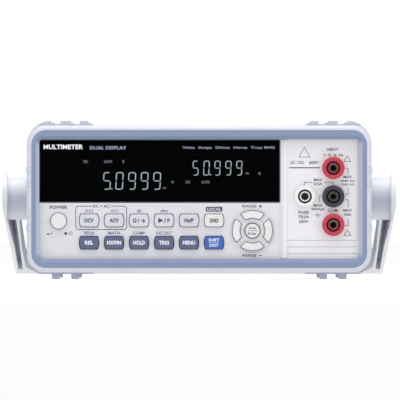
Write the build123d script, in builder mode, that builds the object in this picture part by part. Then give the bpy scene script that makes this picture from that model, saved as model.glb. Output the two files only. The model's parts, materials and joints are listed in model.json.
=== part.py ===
from build123d import *
import os
from math import atan, cos, radians, sin, sqrt, tan

os.makedirs("parts", exist_ok=True)

# A bench multimeter. Millimetres. X runs to the right, Y runs from front to back, Z is up.
# The origin lies on the table, under the middle of the footprint.

# ---------------------------------------------------------------- driving dimensions
# Bumpers
BUMPER_WIDTH = 231.0
BUMPER_BOTTOM_Z = 4.5
BUMPER_TOP_Z = 103.0
BUMPER_CORNER = 13.0
BUMPER_DEPTH = 25.0
BUMPER_HALF_LENGTH = 151.0
LIP_ROUND = 3.0
BACK_ROUND = 1.5
RIM_CHAMFER = 2.2
OPENING_HALF_WIDTH = 107.2
OPENING_BOTTOM_Z = 13.6
OPENING_TOP_Z = 93.7
OPENING_CORNER = 2.0
PAD_RISE = 3.1
PAD_CORNER = 16.0
PAD_INSET = 3.4
FOOT_CENTRES = (83.1, 96.1)
FOOT_WIDTH = 6.0
FOOT_TIP_WIDTH = 4.7
RAIL_PLATE = 1.0
PAD_RAMP_START = 72.0
PAD_RAMP_END = 75.0
SLOT_WIDTH = 6.2
RAIL_START = 71.0
RAIL_END = 108.0
RIB_OFFSETS = (-19.3, -10.0, 10.0, 19.3)
RIB_HEIGHT = 4.0
RIB_PROUD = 0.6
RIB_WIDTH = 5.0

# Case
CASE_WIDTH = 217.0
CASE_BOTTOM_Z = 10.0
CASE_TOP_Z = 98.0
CASE_CORNER = 4.0
CASE_HALF_LENGTH = 142.0
SHEET = 1.0
FIT_GAP = 0.1

# Front panel, behind the rim of the front bumper
PANEL_Y = -145.5
PANEL_THICK = 3.0
SKIRT_DEPTH = 10.5
SKIRT_WALL = 2.0
WINDOW_LEFT = -107.6
WINDOW_RIGHT = 54.5
WINDOW_BOTTOM_Z = 51.1
WINDOW_TOP_Z = 94.0
WINDOW_THICK = 1.6
DIVIDER_LEFT = 54.6
DIVIDER_RIGHT = 58.8
DIVIDER_PROUD = 0.7
TERMINAL_RIGHT = 106.5
GROOVE = 0.6
GROOVE_HEIGHTS = (17.3, 21.7, 26.1)

# Keys
KEY_WIDTH = 12.9
KEY_HEIGHT = 8.3
KEY_BULGE = 1.1
KEY_CORNER = 0.9
KEY_GAP = 0.45
KEY_PROUD = 1.8
KEY_FLANGE = 0.8
KEY_FIRST_X = -73.8
KEY_PITCH_X = 16.75
KEY_ROWS_Z = (39.4, 24.5)
KEY_NAMES = (
    ("dc_volts", "ac_volts", "ohms", "diode", "frequency", "second"),
    ("relative", "min_max", "hold", "trigger", "menu", "shift"),
)
PAD_X = 35.7
PAD_Z = 32.5
PAD_OUTER = 13.3
PAD_INNER = 8.6
PAD_HALF_GAP = 2.15
PAD_DISH = 15.0
PAD_DISH_DEPTH = 0.5
PAD_KEY_NAMES = ("range_up", "range_left", "range_down", "range_right")
CENTRE_KEY_RADIUS = 4.7
CENTRE_KEY_GAP = 0.8
BUTTON_X = -94.3
BUTTON_Z = 39.0
BUTTON_RADIUS = 5.3
BUTTON_PROUD = 3.0
BUTTON_TRAVEL = 2.5

# Input sockets, for 4 mm shrouded plugs on a 3/4 inch grid
SOCKET_PITCH = 19.05
SOCKET_X = 89.9
SOCKET_MID_Z = 55.5
JACK_RADIUS = 7.5
JACK_PROUD = 4.5
BARREL_RADIUS = 6.0
BARREL_LENGTH = 27.0
SHROUD_OUTER = 4.7
SHROUD_INNER = 3.45
SHROUD_DEPTH = 20.0
SOCKET_BORE = 2.0
SOCKET_OUTER = 2.6
SOCKET_LENGTH = 32.2
SOCKET_DEPTH = 24.0
FUSE_CAP_RADIUS = 7.2
FUSE_NECK = 6.0

# Handle
PIVOT_Y = -91.0
PIVOT_Z = 54.0
HANDLE_REACH = 94.0
HANDLE_ANGLE = 30.7
BOSS_RADIUS = 11.0
RUNNING_GAP = 0.1
HUB_RADIUS = 14.2
HUB_INNER_X = 109.0
PLATE_RADIUS = 17.5
PLATE_INNER_X = 129.2
HANDLE_HALF_WIDTH = 132.5
GRIP_DEPTH = 18.0
GRIP_THICK = 5.8
ARM_WALL = 2.8

# Case details
VENT_MID_Y = 84.0
VENT_PITCH = 7.0
VENT_COUNT = 9
VENT_LENGTH = 40.0
VENT_WIDTH = 3.0
TRAY_HALF_WIDTH = 107.3
TRAY_WALL_FRONT_Y = -130.0
TRAY_WALL_BACK_Y = 136.0
TRAY_WALL_HEIGHT = 18.0
CASE_SCREW_PLACES = ((-40.0, 21.0), (30.0, 21.0), (110.0, 21.0))
CASE_SCREW_RADIUS = 1.5
CASE_SCREW_LENGTH = 6.0
PIVOT_SCREW_RADIUS = 2.0
SCREW_HEAD_RADIUS = 2.9
SCREW_HEAD_HEIGHT = 1.8
SCREW_SLOT_LENGTH = 3.2
SCREW_SLOT_WIDTH = 0.8
SCREW_SLOT_DEPTH = 1.0

# Boards and rear panel
BOARD_Z = 18.0
BOARD_THICK = 1.6
BOARD_HALF_WIDTH = 100.0
BOARD_FRONT_Y = -114.0
BOARD_BACK_Y = 133.0
BOARD_NOTCH_X = -8.0
BOARD_NOTCH_Y = 40.0
STANDOFF_RADIUS = 3.0
STANDOFF_PLACES = ((-94.0, -106.0), (94.0, -106.0), (-94.0, 34.0), (94.0, 34.0), (0.0, 127.0), (94.0, 127.0))
DISPLAY_BOARD_Y = -136.5
REAR_PANEL_Y = 137.0
REAR_PANEL_THICK = 1.5
INLET_X = -78.0
INLET_Z = 52.0
INLET_WIDTH = 27.6
INLET_HEIGHT = 48.0
INLET_DEPTH = 30.0
INLET_FLANGE = 2.4
DRAWER_Z = 67.0
DRAWER_WIDTH = 22.0
DRAWER_HEIGHT = 11.0
DRAWER_DEPTH = 24.0
PIN_WINDOW_Z = 45.5
FUSE_RADIUS = 2.6
FUSE_LENGTH = 20.0
USB_X = 14.0
USB_WIDTH = 12.0
USB_HEIGHT = 11.0
SERIAL_X = 54.0
SERIAL_Z = 27.0
SERIAL_SCREW_PITCH = 25.0
SERIAL_SCREW_BORE = 1.25
SWITCH_Y = -98.0
SWITCH_LENGTH = 22.0
SWITCH_SIZE = 13.0
ROD_SIZE = 4.0
TRANSFORMER_X = -50.0
TRANSFORMER_Y = 74.0
CORE_WIDTH = 57.0
CORE_HEIGHT = 48.0
CORE_STACK = 24.0
CORE_LIMB = 9.5

# Display, keypad and key depths
DISPLAY_MID_X = -22.0
DISPLAY_MID_Z = 72.5
DISPLAY_WIDTH = 140.0
DISPLAY_HEIGHT = 32.0
DISPLAY_BOARD_LEFT = -104.0
DISPLAY_BOARD_RIGHT = 54.0
DISPLAY_BOARD_HEIGHT = 80.0
MAT_Y = -138.4
MAT_LEFT = -84.0
MAT_RIGHT = 52.0
MAT_BOTTOM_Z = 15.5
MAT_TOP_Z = 50.5
DOME_RADIUS = 2.2
DOME_HEIGHT = 0.9
KEY_FLANGE_Y = -142.4
KEY_FLANGE_THICK = 1.0
KEY_STEM = 1.0
KEY_EDGE_ROUND = 0.5

# Socket details
JACK_ROUND = 0.8
JACK_NUT_RADIUS = 8.6
JACK_NUT_THICK = 3.0
SOCKET_RECESS = 5.0
HOUSING_RADIUS = 7.1
HOUSING_LENGTH = 42.0
FUSE_NECK_LENGTH = 14.0
FUSE_SHROUD_DEPTH = 15.0
CARRIER_Y = -131.4
CARRIER_LENGTH = 25.0

# Small roundings and steps shared by several pieces
SECTOR_ROUND = 0.6
SMALL_ROUND = 0.8
WINDOW_ROUND = 1.5
TUBE_ROUND = 1.0
DIVIDER_SHORT = 0.6
HOUSING_RIM = 1.2
HOUSING_RIM_THICK = 1.5
CARRIER_STEP = 0.6
CARRIER_FLOOR = 2.0
FUSE_END_ROUND = 0.4
PIVOT_HEAD_RADIUS = 4.35
PIN_HOLE_WIDTH = 2.0
PIN_HOLE_HEIGHT = 4.0
USB_CORNER = 1.6

# Handle details
ARM_NEAR_U = -20.0
ARM_FAR_U = 108.0
SKIN_START_U = -4.0
SKIN_CROWN_RADIUS = 100.0
SKIN_CROWN_REACH = 20.0
SKIN_DEEP = 40.0
SKIN_END_X = 122.6
SKIN_INNER_NEAR_U = -2.0
SKIN_INNER_MID_U = 43.0
SKIN_INNER_MID_X = 124.8
SKIN_END_INNER_X = 120.9
FLANGE_NEAR_X = 121.6
FLANGE_MID_U = 50.0
FLANGE_MID_X = 119.7
FLANGE_FAR_U = 79.0
FLANGE_FAR_X = 117.4
GUSSET_U = 88.0
ARM_END_INNER_X = 109.5
CHANNEL_NEAR_U = 2.0
CHANNEL_NEAR_X = 123.4
CHANNEL_END_U = 82.0
CHANNEL_END_X = 119.4
CHANNEL_TIP_RADIUS = 1.0
SKIN_OVERLAP = 0.6
GRIP_ROUND = 2.5
BOSS_END_X = 125.0
HUB_DISH_RADIUS = 9.0
HUB_DISH_DEPTH = 0.8
TONGUE_DEPTH = 11.0
TONGUE_THICK = 3.0
TONGUE_END_X = 119.0
PIVOT_SCREW_LENGTH = 10.0

# Details on the boards and at the back
STANDOFF_BORE = 1.2
BOARD_SCREW_LENGTH = 5.0
CORE_WINDOW_WIDTH = 9.5
CORE_CENTRE = 19.0
WINDING_WIDTH = 36.5
WINDING_DEPTH = 41.0
CAPACITOR_PLACES = ((10.0, 60.0), (10.0, 80.0), (30.0, 60.0), (30.0, 80.0))
CAPACITOR_RADIUS = 8.0
CAPACITOR_HEIGHT = 30.0
HEAT_SINK_PLACE = (70.0, 70.0)
HEAT_SINK_WIDTH = 42.0
HEAT_SINK_DEPTH = 16.0
HEAT_SINK_HEIGHT = 32.0
RELAY_MIDDLE = (66.0, -70.0)
RELAY_WIDTH = 10.0
RELAY_DEPTH = 20.0
RELAY_HEIGHT = 11.0
RIBBON_WIDTH = 30.0
RIBBON_TOP_Z = 32.0
RIBBON_END_Y = -106.0
RIBBON_THICK = 0.9
USB_DEPTH = 15.0
USB_PROUD = 0.8
USB_MOUTH_WIDTH = 8.8
USB_MOUTH_HEIGHT = 8.0
USB_MOUTH_DEPTH = 9.0
USB_TONGUE_WIDTH = 5.6
USB_TONGUE_HEIGHT = 3.2
SERIAL_FLANGE_WIDTH = 31.0
SERIAL_FLANGE_HEIGHT = 12.5
SERIAL_BODY_DEPTH = 10.0
SERIAL_SHELL_WIDTH = 17.0
SERIAL_SHELL_HEIGHT = 8.4
SERIAL_SHELL_LENGTH = 7.0
SERIAL_PIN_PITCH = 2.77
SERIAL_PIN_RADIUS = 0.5
SERIAL_ROW_OFFSET = 1.42
JACKSCREW_HEAD = 2.9
JACKSCREW_LENGTH = 5.5
JACKSCREW_NECK = 1.6
REAR_VENT_X = 66.0
REAR_VENT_Z = 68.0
REAR_VENT_PITCH = 6.0
REAR_VENT_COUNT = 7
REAR_VENT_LENGTH = 56.0
PLUG_WIDTH = 24.0
PLUG_HEIGHT = 16.4
PLUG_DEPTH = 18.0
PLUG_CORNER = 4.0
PLUG_PIN_INSET = 3.0
DRAWER_CRADLE_INSET = 3.0
DRAWER_CRADLE_LENGTH = 14.0

# ---------------------------------------------------------------- derived values
MID_Z = (BUMPER_BOTTOM_Z + BUMPER_TOP_Z) / 2
BUMPER_HEIGHT = BUMPER_TOP_Z - BUMPER_BOTTOM_Z
INNER_SLOT = (FOOT_CENTRES[0] - SLOT_WIDTH / 2, FOOT_CENTRES[0] + SLOT_WIDTH / 2)
OUTER_SLOT = (FOOT_CENTRES[1] - SLOT_WIDTH / 2, FOOT_CENTRES[1] + SLOT_WIDTH / 2)
RAIL_LENGTH = RAIL_END - RAIL_START
RAIL_MID_X = (RAIL_END + RAIL_START) / 2
PAD_LENGTH = BUMPER_DEPTH - 2 * PAD_INSET + BACK_ROUND
OPENING_HEIGHT = OPENING_TOP_Z - OPENING_BOTTOM_Z
OPENING_MID_Z = (OPENING_TOP_Z + OPENING_BOTTOM_Z) / 2
CASE_HEIGHT = CASE_TOP_Z - CASE_BOTTOM_Z
CASE_MID_Z = (CASE_TOP_Z + CASE_BOTTOM_Z) / 2
CASE_HALF_WIDTH = CASE_WIDTH / 2
PANEL_BACK_Y = PANEL_Y + PANEL_THICK
KEY_FRONT_Y = PANEL_Y - KEY_PROUD
KEY_COLUMNS_X = [KEY_FIRST_X + KEY_PITCH_X * column for column in range(6)]
BOARD_TOP_Z = BOARD_Z + BOARD_THICK
JACK_FRONT_Y = PANEL_Y - JACK_PROUD
JACK_PLACES = [(SOCKET_X, SOCKET_MID_Z + SOCKET_PITCH * step) for step in (1, 0, -1)]
FUSE_PLACE = (SOCKET_X - SOCKET_PITCH, SOCKET_MID_Z)
ANGLE = radians(HANDLE_ANGLE)
GRIP_Y = PIVOT_Y + HANDLE_REACH * cos(ANGLE)
GRIP_Z = PIVOT_Z - HANDLE_REACH * sin(ANGLE)
SKIN_SLOPE = atan((HANDLE_HALF_WIDTH - SKIN_END_X) / (ARM_FAR_U - SKIN_START_U))
SKIN_SAG = SKIN_CROWN_RADIUS - sqrt(SKIN_CROWN_RADIUS**2 - SKIN_CROWN_REACH**2)
SKIN_HUB_X = HANDLE_HALF_WIDTH + SKIN_START_U * tan(SKIN_SLOPE)
REAR_FACE_Y = REAR_PANEL_Y + REAR_PANEL_THICK
SWITCH_TOP_Z = BUTTON_Z + SWITCH_SIZE / 2
SKIRT_HEIGHT = CASE_HEIGHT - 2 * (SHEET + 3 * FIT_GAP)
SERIAL_HOLE_WIDTH = SERIAL_SHELL_WIDTH + 4 * FIT_GAP
SERIAL_HOLE_HEIGHT = SERIAL_SHELL_HEIGHT + 4 * FIT_GAP
USB_Z = BOARD_TOP_Z + USB_HEIGHT / 2
DRAWER_FRONT_Y = REAR_FACE_Y + INLET_FLANGE
MAINS_FUSE_Z = DRAWER_Z - DRAWER_HEIGHT / 2 + 2 + FUSE_RADIUS + FIT_GAP
MAINS_FUSE_PLACES = [(DRAWER_FRONT_Y - DRAWER_CRADLE_INSET - step, MAINS_FUSE_Z) for step in (3.5, 10.0)]


def upright(y):
    """The vertical plane at depth y that faces the front: X across, Z up."""
    return Plane.XZ.offset(-y)


def level(z):
    """The horizontal plane at height z."""
    return Plane.XY.offset(z)


def barrel(width, height):
    """A key outline with flat ends and bulged sides, grown about the origin."""
    half_width = width / 2
    half_height = height / 2
    shoulder = half_width - KEY_BULGE
    with BuildSketch() as outline:
        with BuildLine():
            Line((-shoulder, half_height), (shoulder, half_height))
            ThreePointArc((shoulder, half_height), (half_width, 0), (shoulder, -half_height))
            Line((shoulder, -half_height), (-shoulder, -half_height))
            ThreePointArc((-shoulder, -half_height), (-half_width, 0), (-shoulder, half_height))
        make_face()
        fillet(outline.vertices(), KEY_CORNER)
    return outline.sketch


def sector(outer, inner, half_gap):
    """The upper quarter of a ring, with a straight gap to each neighbour."""
    square = 3 * outer
    with BuildSketch() as outline:
        Circle(outer)
        Circle(inner, mode=Mode.SUBTRACT)
        with Locations((0, (half_gap + square / 2) * sqrt(2))):
            Rectangle(square, square, rotation=45, mode=Mode.INTERSECT)
        fillet(outline.vertices(), SECTOR_ROUND)
    return outline.sketch


KEY_OUTLINE = barrel(KEY_WIDTH, KEY_HEIGHT)
KEY_HOLE = barrel(KEY_WIDTH + 2 * KEY_GAP, KEY_HEIGHT + 2 * KEY_GAP)
KEY_FLANGE_OUTLINE = barrel(KEY_WIDTH + 2 * KEY_FLANGE, KEY_HEIGHT + 2 * KEY_FLANGE)
SECTOR_OUTLINE = sector(PAD_OUTER, PAD_INNER, PAD_HALF_GAP)
SECTOR_HOLE = sector(PAD_OUTER + KEY_GAP, PAD_INNER - KEY_GAP, PAD_HALF_GAP - KEY_GAP)
SECTOR_FLANGE = sector(PAD_OUTER + KEY_FLANGE, PAD_INNER - KEY_FLANGE, PAD_HALF_GAP - KEY_FLANGE)
SECTOR_TURNS = [Location((PAD_X, PAD_Z, 0), (0, 0, 90 * step)) for step in range(4)]
KEY_PLACES = [(x, z) for z in KEY_ROWS_Z for x in KEY_COLUMNS_X]

# ---------------------------------------------------------------- bumpers
with BuildPart() as front_bumper:
    with BuildSketch(upright(-BUMPER_HALF_LENGTH)):
        with Locations((0, MID_Z)):
            RectangleRounded(BUMPER_WIDTH, BUMPER_HEIGHT, BUMPER_CORNER)
    extrude(amount=-BUMPER_DEPTH)
    fillet(front_bumper.faces().sort_by(Axis.Y)[0].edges(), LIP_ROUND)
    fillet(front_bumper.faces().sort_by(Axis.Y)[-1].edges(), BACK_ROUND)
    # Corner pads of the stacking rail on top
    with BuildSketch(upright(-BUMPER_HALF_LENGTH + PAD_INSET)):
        with Locations((0, MID_Z + PAD_RISE / 2)):
            RectangleRounded(BUMPER_WIDTH, BUMPER_HEIGHT + PAD_RISE, PAD_CORNER)
        with Locations((0, MID_Z)):
            Rectangle(2 * OUTER_SLOT[1], 2 * BUMPER_HEIGHT, mode=Mode.SUBTRACT)
        with Locations((0, BUMPER_TOP_Z - BUMPER_CORNER)):
            Rectangle(2 * BUMPER_WIDTH, BUMPER_HEIGHT * 2, align=(Align.CENTER, Align.MAX),
                      mode=Mode.SUBTRACT)
    extrude(amount=-PAD_LENGTH)
    # Inner pads on a thin plate, one each side of the inner slot for a stacked unit's foot
    with BuildSketch(upright(-BUMPER_HALF_LENGTH + PAD_INSET)):
        for side in (-1, 1):
            with Locations((side * RAIL_MID_X, BUMPER_TOP_Z + RAIL_PLATE)):
                Rectangle(RAIL_LENGTH, 2 * RAIL_PLATE, align=(Align.CENTER, Align.MAX))
            with BuildLine():
                Polyline(
                    (side * PAD_RAMP_START, BUMPER_TOP_Z),
                    (side * PAD_RAMP_END, BUMPER_TOP_Z + PAD_RISE),
                    (side * INNER_SLOT[0], BUMPER_TOP_Z + PAD_RISE),
                    (side * INNER_SLOT[0], BUMPER_TOP_Z),
                    close=True,
                )
            make_face()
            with Locations((side * (INNER_SLOT[1] + OUTER_SLOT[0]) / 2, BUMPER_TOP_Z + PAD_RISE)):
                Rectangle(OUTER_SLOT[0] - INNER_SLOT[1], 2 * PAD_RISE, align=(Align.CENTER, Align.MAX))
    extrude(amount=-PAD_LENGTH)
    # Feet on a thin plate
    with BuildSketch(upright(-BUMPER_HALF_LENGTH + PAD_INSET)):
        for side in (-1, 1):
            with Locations((side * RAIL_MID_X, BUMPER_BOTTOM_Z - RAIL_PLATE)):
                Rectangle(RAIL_LENGTH, 2 * RAIL_PLATE, align=(Align.CENTER, Align.MIN))
            for place in FOOT_CENTRES:
                with BuildLine():
                    Polyline(
                        (side * place - FOOT_WIDTH / 2, BUMPER_BOTTOM_Z),
                        (side * place + FOOT_WIDTH / 2, BUMPER_BOTTOM_Z),
                        (side * place + FOOT_TIP_WIDTH / 2, 0),
                        (side * place - FOOT_TIP_WIDTH / 2, 0),
                        close=True,
                    )
                make_face()
    extrude(amount=-PAD_LENGTH)
    # Finger ribs on the sides
    for side in (-1, 1):
        for offset_z in RIB_OFFSETS:
            with BuildSketch(level(MID_Z + offset_z)) as rib:
                with Locations((side * (BUMPER_WIDTH / 2 + RIB_PROUD), -BUMPER_HALF_LENGTH)):
                    Rectangle(
                        RIB_WIDTH,
                        BUMPER_DEPTH - PAD_INSET,
                        align=(Align.MAX if side > 0 else Align.MIN, Align.MIN),
                    )
                outer_corner = rib.vertices().group_by(Axis.Y)[0].sort_by(Axis.X)[-1 if side > 0 else 0]
                fillet(outer_corner, LIP_ROUND)
            extrude(amount=RIB_HEIGHT / 2, both=True)
    # Opening for the panel, then the wider pocket that grips the case
    with BuildSketch(upright(-BUMPER_HALF_LENGTH - 1)):
        with Locations((0, OPENING_MID_Z)):
            RectangleRounded(2 * OPENING_HALF_WIDTH, OPENING_HEIGHT, OPENING_CORNER)
    extrude(amount=-(BUMPER_DEPTH + 2), mode=Mode.SUBTRACT)
    with BuildSketch(upright(PANEL_Y - FIT_GAP)):
        with Locations((0, CASE_MID_Z)):
            RectangleRounded(CASE_WIDTH + 2 * FIT_GAP, CASE_HEIGHT + 2 * FIT_GAP, CASE_CORNER)
    extrude(amount=-BUMPER_DEPTH, mode=Mode.SUBTRACT)
    rim = front_bumper.faces().filter_by(Plane.XZ).sort_by(Axis.Y)[0].inner_wires()[0].edges()
    chamfer(rim, RIM_CHAMFER)
front_bumper.part.label = "front_bumper"
export_step(front_bumper.part, "parts/front_bumper.step")

with BuildPart() as rear_bumper:
    mirror(front_bumper.part, about=Plane.XZ)
rear_bumper.part.label = "rear_bumper"
export_step(rear_bumper.part, "parts/rear_bumper.step")

# ---------------------------------------------------------------- case
with BuildPart() as case_cover:
    with BuildSketch(upright(-CASE_HALF_LENGTH)):
        with Locations((0, CASE_MID_Z)):
            RectangleRounded(CASE_WIDTH, CASE_HEIGHT, CASE_CORNER)
            RectangleRounded(
                CASE_WIDTH - 2 * SHEET, CASE_HEIGHT - 2 * SHEET, CASE_CORNER - SHEET, mode=Mode.SUBTRACT
            )
        with Locations((0, CASE_BOTTOM_Z)):
            Rectangle(2 * CASE_WIDTH, 2 * CASE_CORNER, mode=Mode.SUBTRACT)
    extrude(amount=-2 * CASE_HALF_LENGTH)
    # Vent slots in both sides, near the back
    with BuildSketch(Plane.YZ):
        with Locations((VENT_MID_Y, CASE_MID_Z)):
            with GridLocations(VENT_PITCH, 1, VENT_COUNT, 1):
                SlotOverall(VENT_LENGTH, VENT_WIDTH, rotation=90)
    extrude(amount=CASE_WIDTH, both=True, mode=Mode.SUBTRACT)
    # Screw holes in both sides
    with BuildSketch(Plane.YZ):
        with Locations(*CASE_SCREW_PLACES):
            Circle(CASE_SCREW_RADIUS + FIT_GAP)
        with Locations((PIVOT_Y, PIVOT_Z)):
            Circle(PIVOT_SCREW_RADIUS + FIT_GAP)
    extrude(amount=CASE_WIDTH, both=True, mode=Mode.SUBTRACT)
case_cover.part.label = "case_cover"
export_step(case_cover.part, "parts/case_cover.step")

with BuildPart() as chassis_tray:
    with BuildSketch(upright(-CASE_HALF_LENGTH)):
        with Locations((0, CASE_BOTTOM_Z + SHEET / 2)):
            Rectangle(2 * (TRAY_HALF_WIDTH - CASE_CORNER), SHEET)
    extrude(amount=-2 * CASE_HALF_LENGTH)
    with BuildSketch(upright(TRAY_WALL_FRONT_Y)):
        with Locations((0, CASE_MID_Z)):
            RectangleRounded(2 * TRAY_HALF_WIDTH, CASE_HEIGHT, CASE_CORNER)
            RectangleRounded(
                2 * (TRAY_HALF_WIDTH - SHEET),
                CASE_HEIGHT - 2 * SHEET,
                CASE_CORNER - SHEET,
                mode=Mode.SUBTRACT,
            )
        with Locations((0, CASE_BOTTOM_Z + TRAY_WALL_HEIGHT)):
            Rectangle(CASE_WIDTH, CASE_HEIGHT, align=(Align.CENTER, Align.MIN), mode=Mode.SUBTRACT)
    extrude(amount=-(TRAY_WALL_BACK_Y - TRAY_WALL_FRONT_Y))
    # Folded tab that carries the mains switch
    with BuildSketch(upright(SWITCH_Y + SWITCH_LENGTH)):
        with Locations((BUTTON_X, CASE_BOTTOM_Z)):
            Rectangle(SWITCH_SIZE, SWITCH_TOP_Z - CASE_BOTTOM_Z, align=(Align.CENTER, Align.MIN))
    extrude(amount=-SHEET)
    with BuildSketch(Plane.YZ):
        with Locations(*CASE_SCREW_PLACES):
            Circle(CASE_SCREW_RADIUS + FIT_GAP)
    extrude(amount=CASE_WIDTH, both=True, mode=Mode.SUBTRACT)
chassis_tray.part.label = "chassis_tray"
export_step(chassis_tray.part, "parts/chassis_tray.step")

# ---------------------------------------------------------------- front panel
with BuildPart() as front_panel:
    with BuildSketch(upright(PANEL_Y)):
        with Locations((0, CASE_MID_Z)):
            RectangleRounded(CASE_WIDTH - 4 * FIT_GAP, CASE_HEIGHT - 4 * FIT_GAP, CASE_CORNER)
    extrude(amount=-PANEL_THICK)
    with BuildSketch(upright(PANEL_BACK_Y)):
        with Locations((0, CASE_MID_Z)):
            RectangleRounded(2 * TRAY_HALF_WIDTH, SKIRT_HEIGHT, CASE_CORNER - SHEET)
            RectangleRounded(
                2 * (TRAY_HALF_WIDTH - SKIRT_WALL),
                SKIRT_HEIGHT - 2 * SKIRT_WALL,
                CASE_CORNER - SKIRT_WALL,
                mode=Mode.SUBTRACT,
            )
    extrude(amount=-SKIRT_DEPTH)
    # Raised strip between the controls and the terminals
    with BuildSketch(upright(PANEL_Y - DIVIDER_PROUD)):
        with Locations(((DIVIDER_LEFT + DIVIDER_RIGHT) / 2, OPENING_MID_Z)):
            RectangleRounded(DIVIDER_RIGHT - DIVIDER_LEFT, OPENING_HEIGHT - DIVIDER_SHORT, SMALL_ROUND)
    extrude(amount=-DIVIDER_PROUD)
    # Rebate for the window and the hole behind it for the display
    with BuildSketch(upright(PANEL_Y)):
        with Locations(((WINDOW_LEFT + WINDOW_RIGHT) / 2, (WINDOW_BOTTOM_Z + WINDOW_TOP_Z) / 2)):
            RectangleRounded(WINDOW_RIGHT - WINDOW_LEFT, WINDOW_TOP_Z - WINDOW_BOTTOM_Z, WINDOW_ROUND)
    extrude(amount=-WINDOW_THICK, mode=Mode.SUBTRACT)
    with BuildSketch(upright(PANEL_Y)):
        with Locations((DISPLAY_MID_X, DISPLAY_MID_Z)):
            RectangleRounded(DISPLAY_WIDTH + TUBE_ROUND, DISPLAY_HEIGHT + TUBE_ROUND, WINDOW_ROUND)
    extrude(amount=-PANEL_THICK, mode=Mode.SUBTRACT)
    # Dish under the range keys
    with BuildSketch(upright(PANEL_Y)):
        with Locations((PAD_X, PAD_Z)):
            Circle(PAD_DISH)
    extrude(amount=-PAD_DISH_DEPTH, mode=Mode.SUBTRACT)
    # Holes for the keys, the power button and the input sockets
    with BuildSketch(upright(PANEL_Y)):
        with Locations(*KEY_PLACES):
            add(KEY_HOLE)
        with Locations(*SECTOR_TURNS):
            add(SECTOR_HOLE)
        with Locations((PAD_X, PAD_Z)):
            Circle(CENTRE_KEY_RADIUS + CENTRE_KEY_GAP)
        with Locations((BUTTON_X, BUTTON_Z)):
            Circle(BUTTON_RADIUS + KEY_GAP)
        with Locations(*JACK_PLACES):
            Circle(BARREL_RADIUS + FIT_GAP)
        with Locations(FUSE_PLACE):
            Circle(HOUSING_RADIUS + FIT_GAP)
    extrude(amount=-PANEL_THICK, mode=Mode.SUBTRACT)
    # Shallow grooves that frame the terminals
    with BuildSketch(upright(PANEL_Y)):
        for z in GROOVE_HEIGHTS:
            with Locations(((DIVIDER_RIGHT + TERMINAL_RIGHT) / 2, z)):
                Rectangle(TERMINAL_RIGHT - DIVIDER_RIGHT, GROOVE)
        with Locations((TERMINAL_RIGHT, (GROOVE_HEIGHTS[-1] + OPENING_TOP_Z - 3) / 2)):
            Rectangle(GROOVE, OPENING_TOP_Z - 3 - GROOVE_HEIGHTS[-1])
    extrude(amount=-GROOVE, mode=Mode.SUBTRACT)
front_panel.part.label = "front_panel"
export_step(front_panel.part, "parts/front_panel.step")

with BuildPart() as display_window:
    with BuildSketch(upright(PANEL_Y)):
        with Locations(((WINDOW_LEFT + WINDOW_RIGHT) / 2, (WINDOW_BOTTOM_Z + WINDOW_TOP_Z) / 2)):
            RectangleRounded(
                WINDOW_RIGHT - WINDOW_LEFT - 2 * FIT_GAP,
                WINDOW_TOP_Z - WINDOW_BOTTOM_Z - 2 * FIT_GAP,
                WINDOW_ROUND - FIT_GAP,
            )
    extrude(amount=-(WINDOW_THICK - FIT_GAP))
display_window.part.label = "display_window"
export_step(display_window.part, "parts/display_window.step")

with BuildPart() as display_tube:
    with BuildSketch(upright(PANEL_Y + WINDOW_THICK + FIT_GAP)):
        with Locations((DISPLAY_MID_X, DISPLAY_MID_Z)):
            RectangleRounded(DISPLAY_WIDTH, DISPLAY_HEIGHT, TUBE_ROUND)
    extrude(amount=-(DISPLAY_BOARD_Y - PANEL_Y - WINDOW_THICK - 2 * FIT_GAP))
display_tube.part.label = "display_tube"
export_step(display_tube.part, "parts/display_tube.step")

with BuildPart() as display_board:
    with BuildSketch(upright(DISPLAY_BOARD_Y)):
        with Locations(((DISPLAY_BOARD_LEFT + DISPLAY_BOARD_RIGHT) / 2, CASE_MID_Z)):
            Rectangle(DISPLAY_BOARD_RIGHT - DISPLAY_BOARD_LEFT, DISPLAY_BOARD_HEIGHT)
        with Locations((BUTTON_X, BUTTON_Z)):
            Rectangle(2 * ROD_SIZE, 2 * ROD_SIZE, mode=Mode.SUBTRACT)
    extrude(amount=-BOARD_THICK)
display_board.part.label = "display_board"
export_step(display_board.part, "parts/display_board.step")

# One rubber sheet with a dome behind every key
with BuildPart() as keypad_mat:
    with BuildSketch(upright(MAT_Y)):
        with Locations(((MAT_LEFT + MAT_RIGHT) / 2, (MAT_BOTTOM_Z + MAT_TOP_Z) / 2)):
            RectangleRounded(MAT_RIGHT - MAT_LEFT, MAT_TOP_Z - MAT_BOTTOM_Z, 2)
    extrude(amount=-(DISPLAY_BOARD_Y - MAT_Y))
    with BuildSketch(upright(MAT_Y)):
        with Locations(*KEY_PLACES):
            Circle(DOME_RADIUS)
        with Locations((PAD_X, PAD_Z)):
            Circle(DOME_RADIUS)
            with PolarLocations((PAD_OUTER + PAD_INNER) / 2, 4, start_angle=90):
                Circle(DOME_RADIUS)
    extrude(amount=DOME_HEIGHT, taper=20)
keypad_mat.part.label = "keypad_mat"
export_step(keypad_mat.part, "parts/keypad_mat.step")

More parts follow.
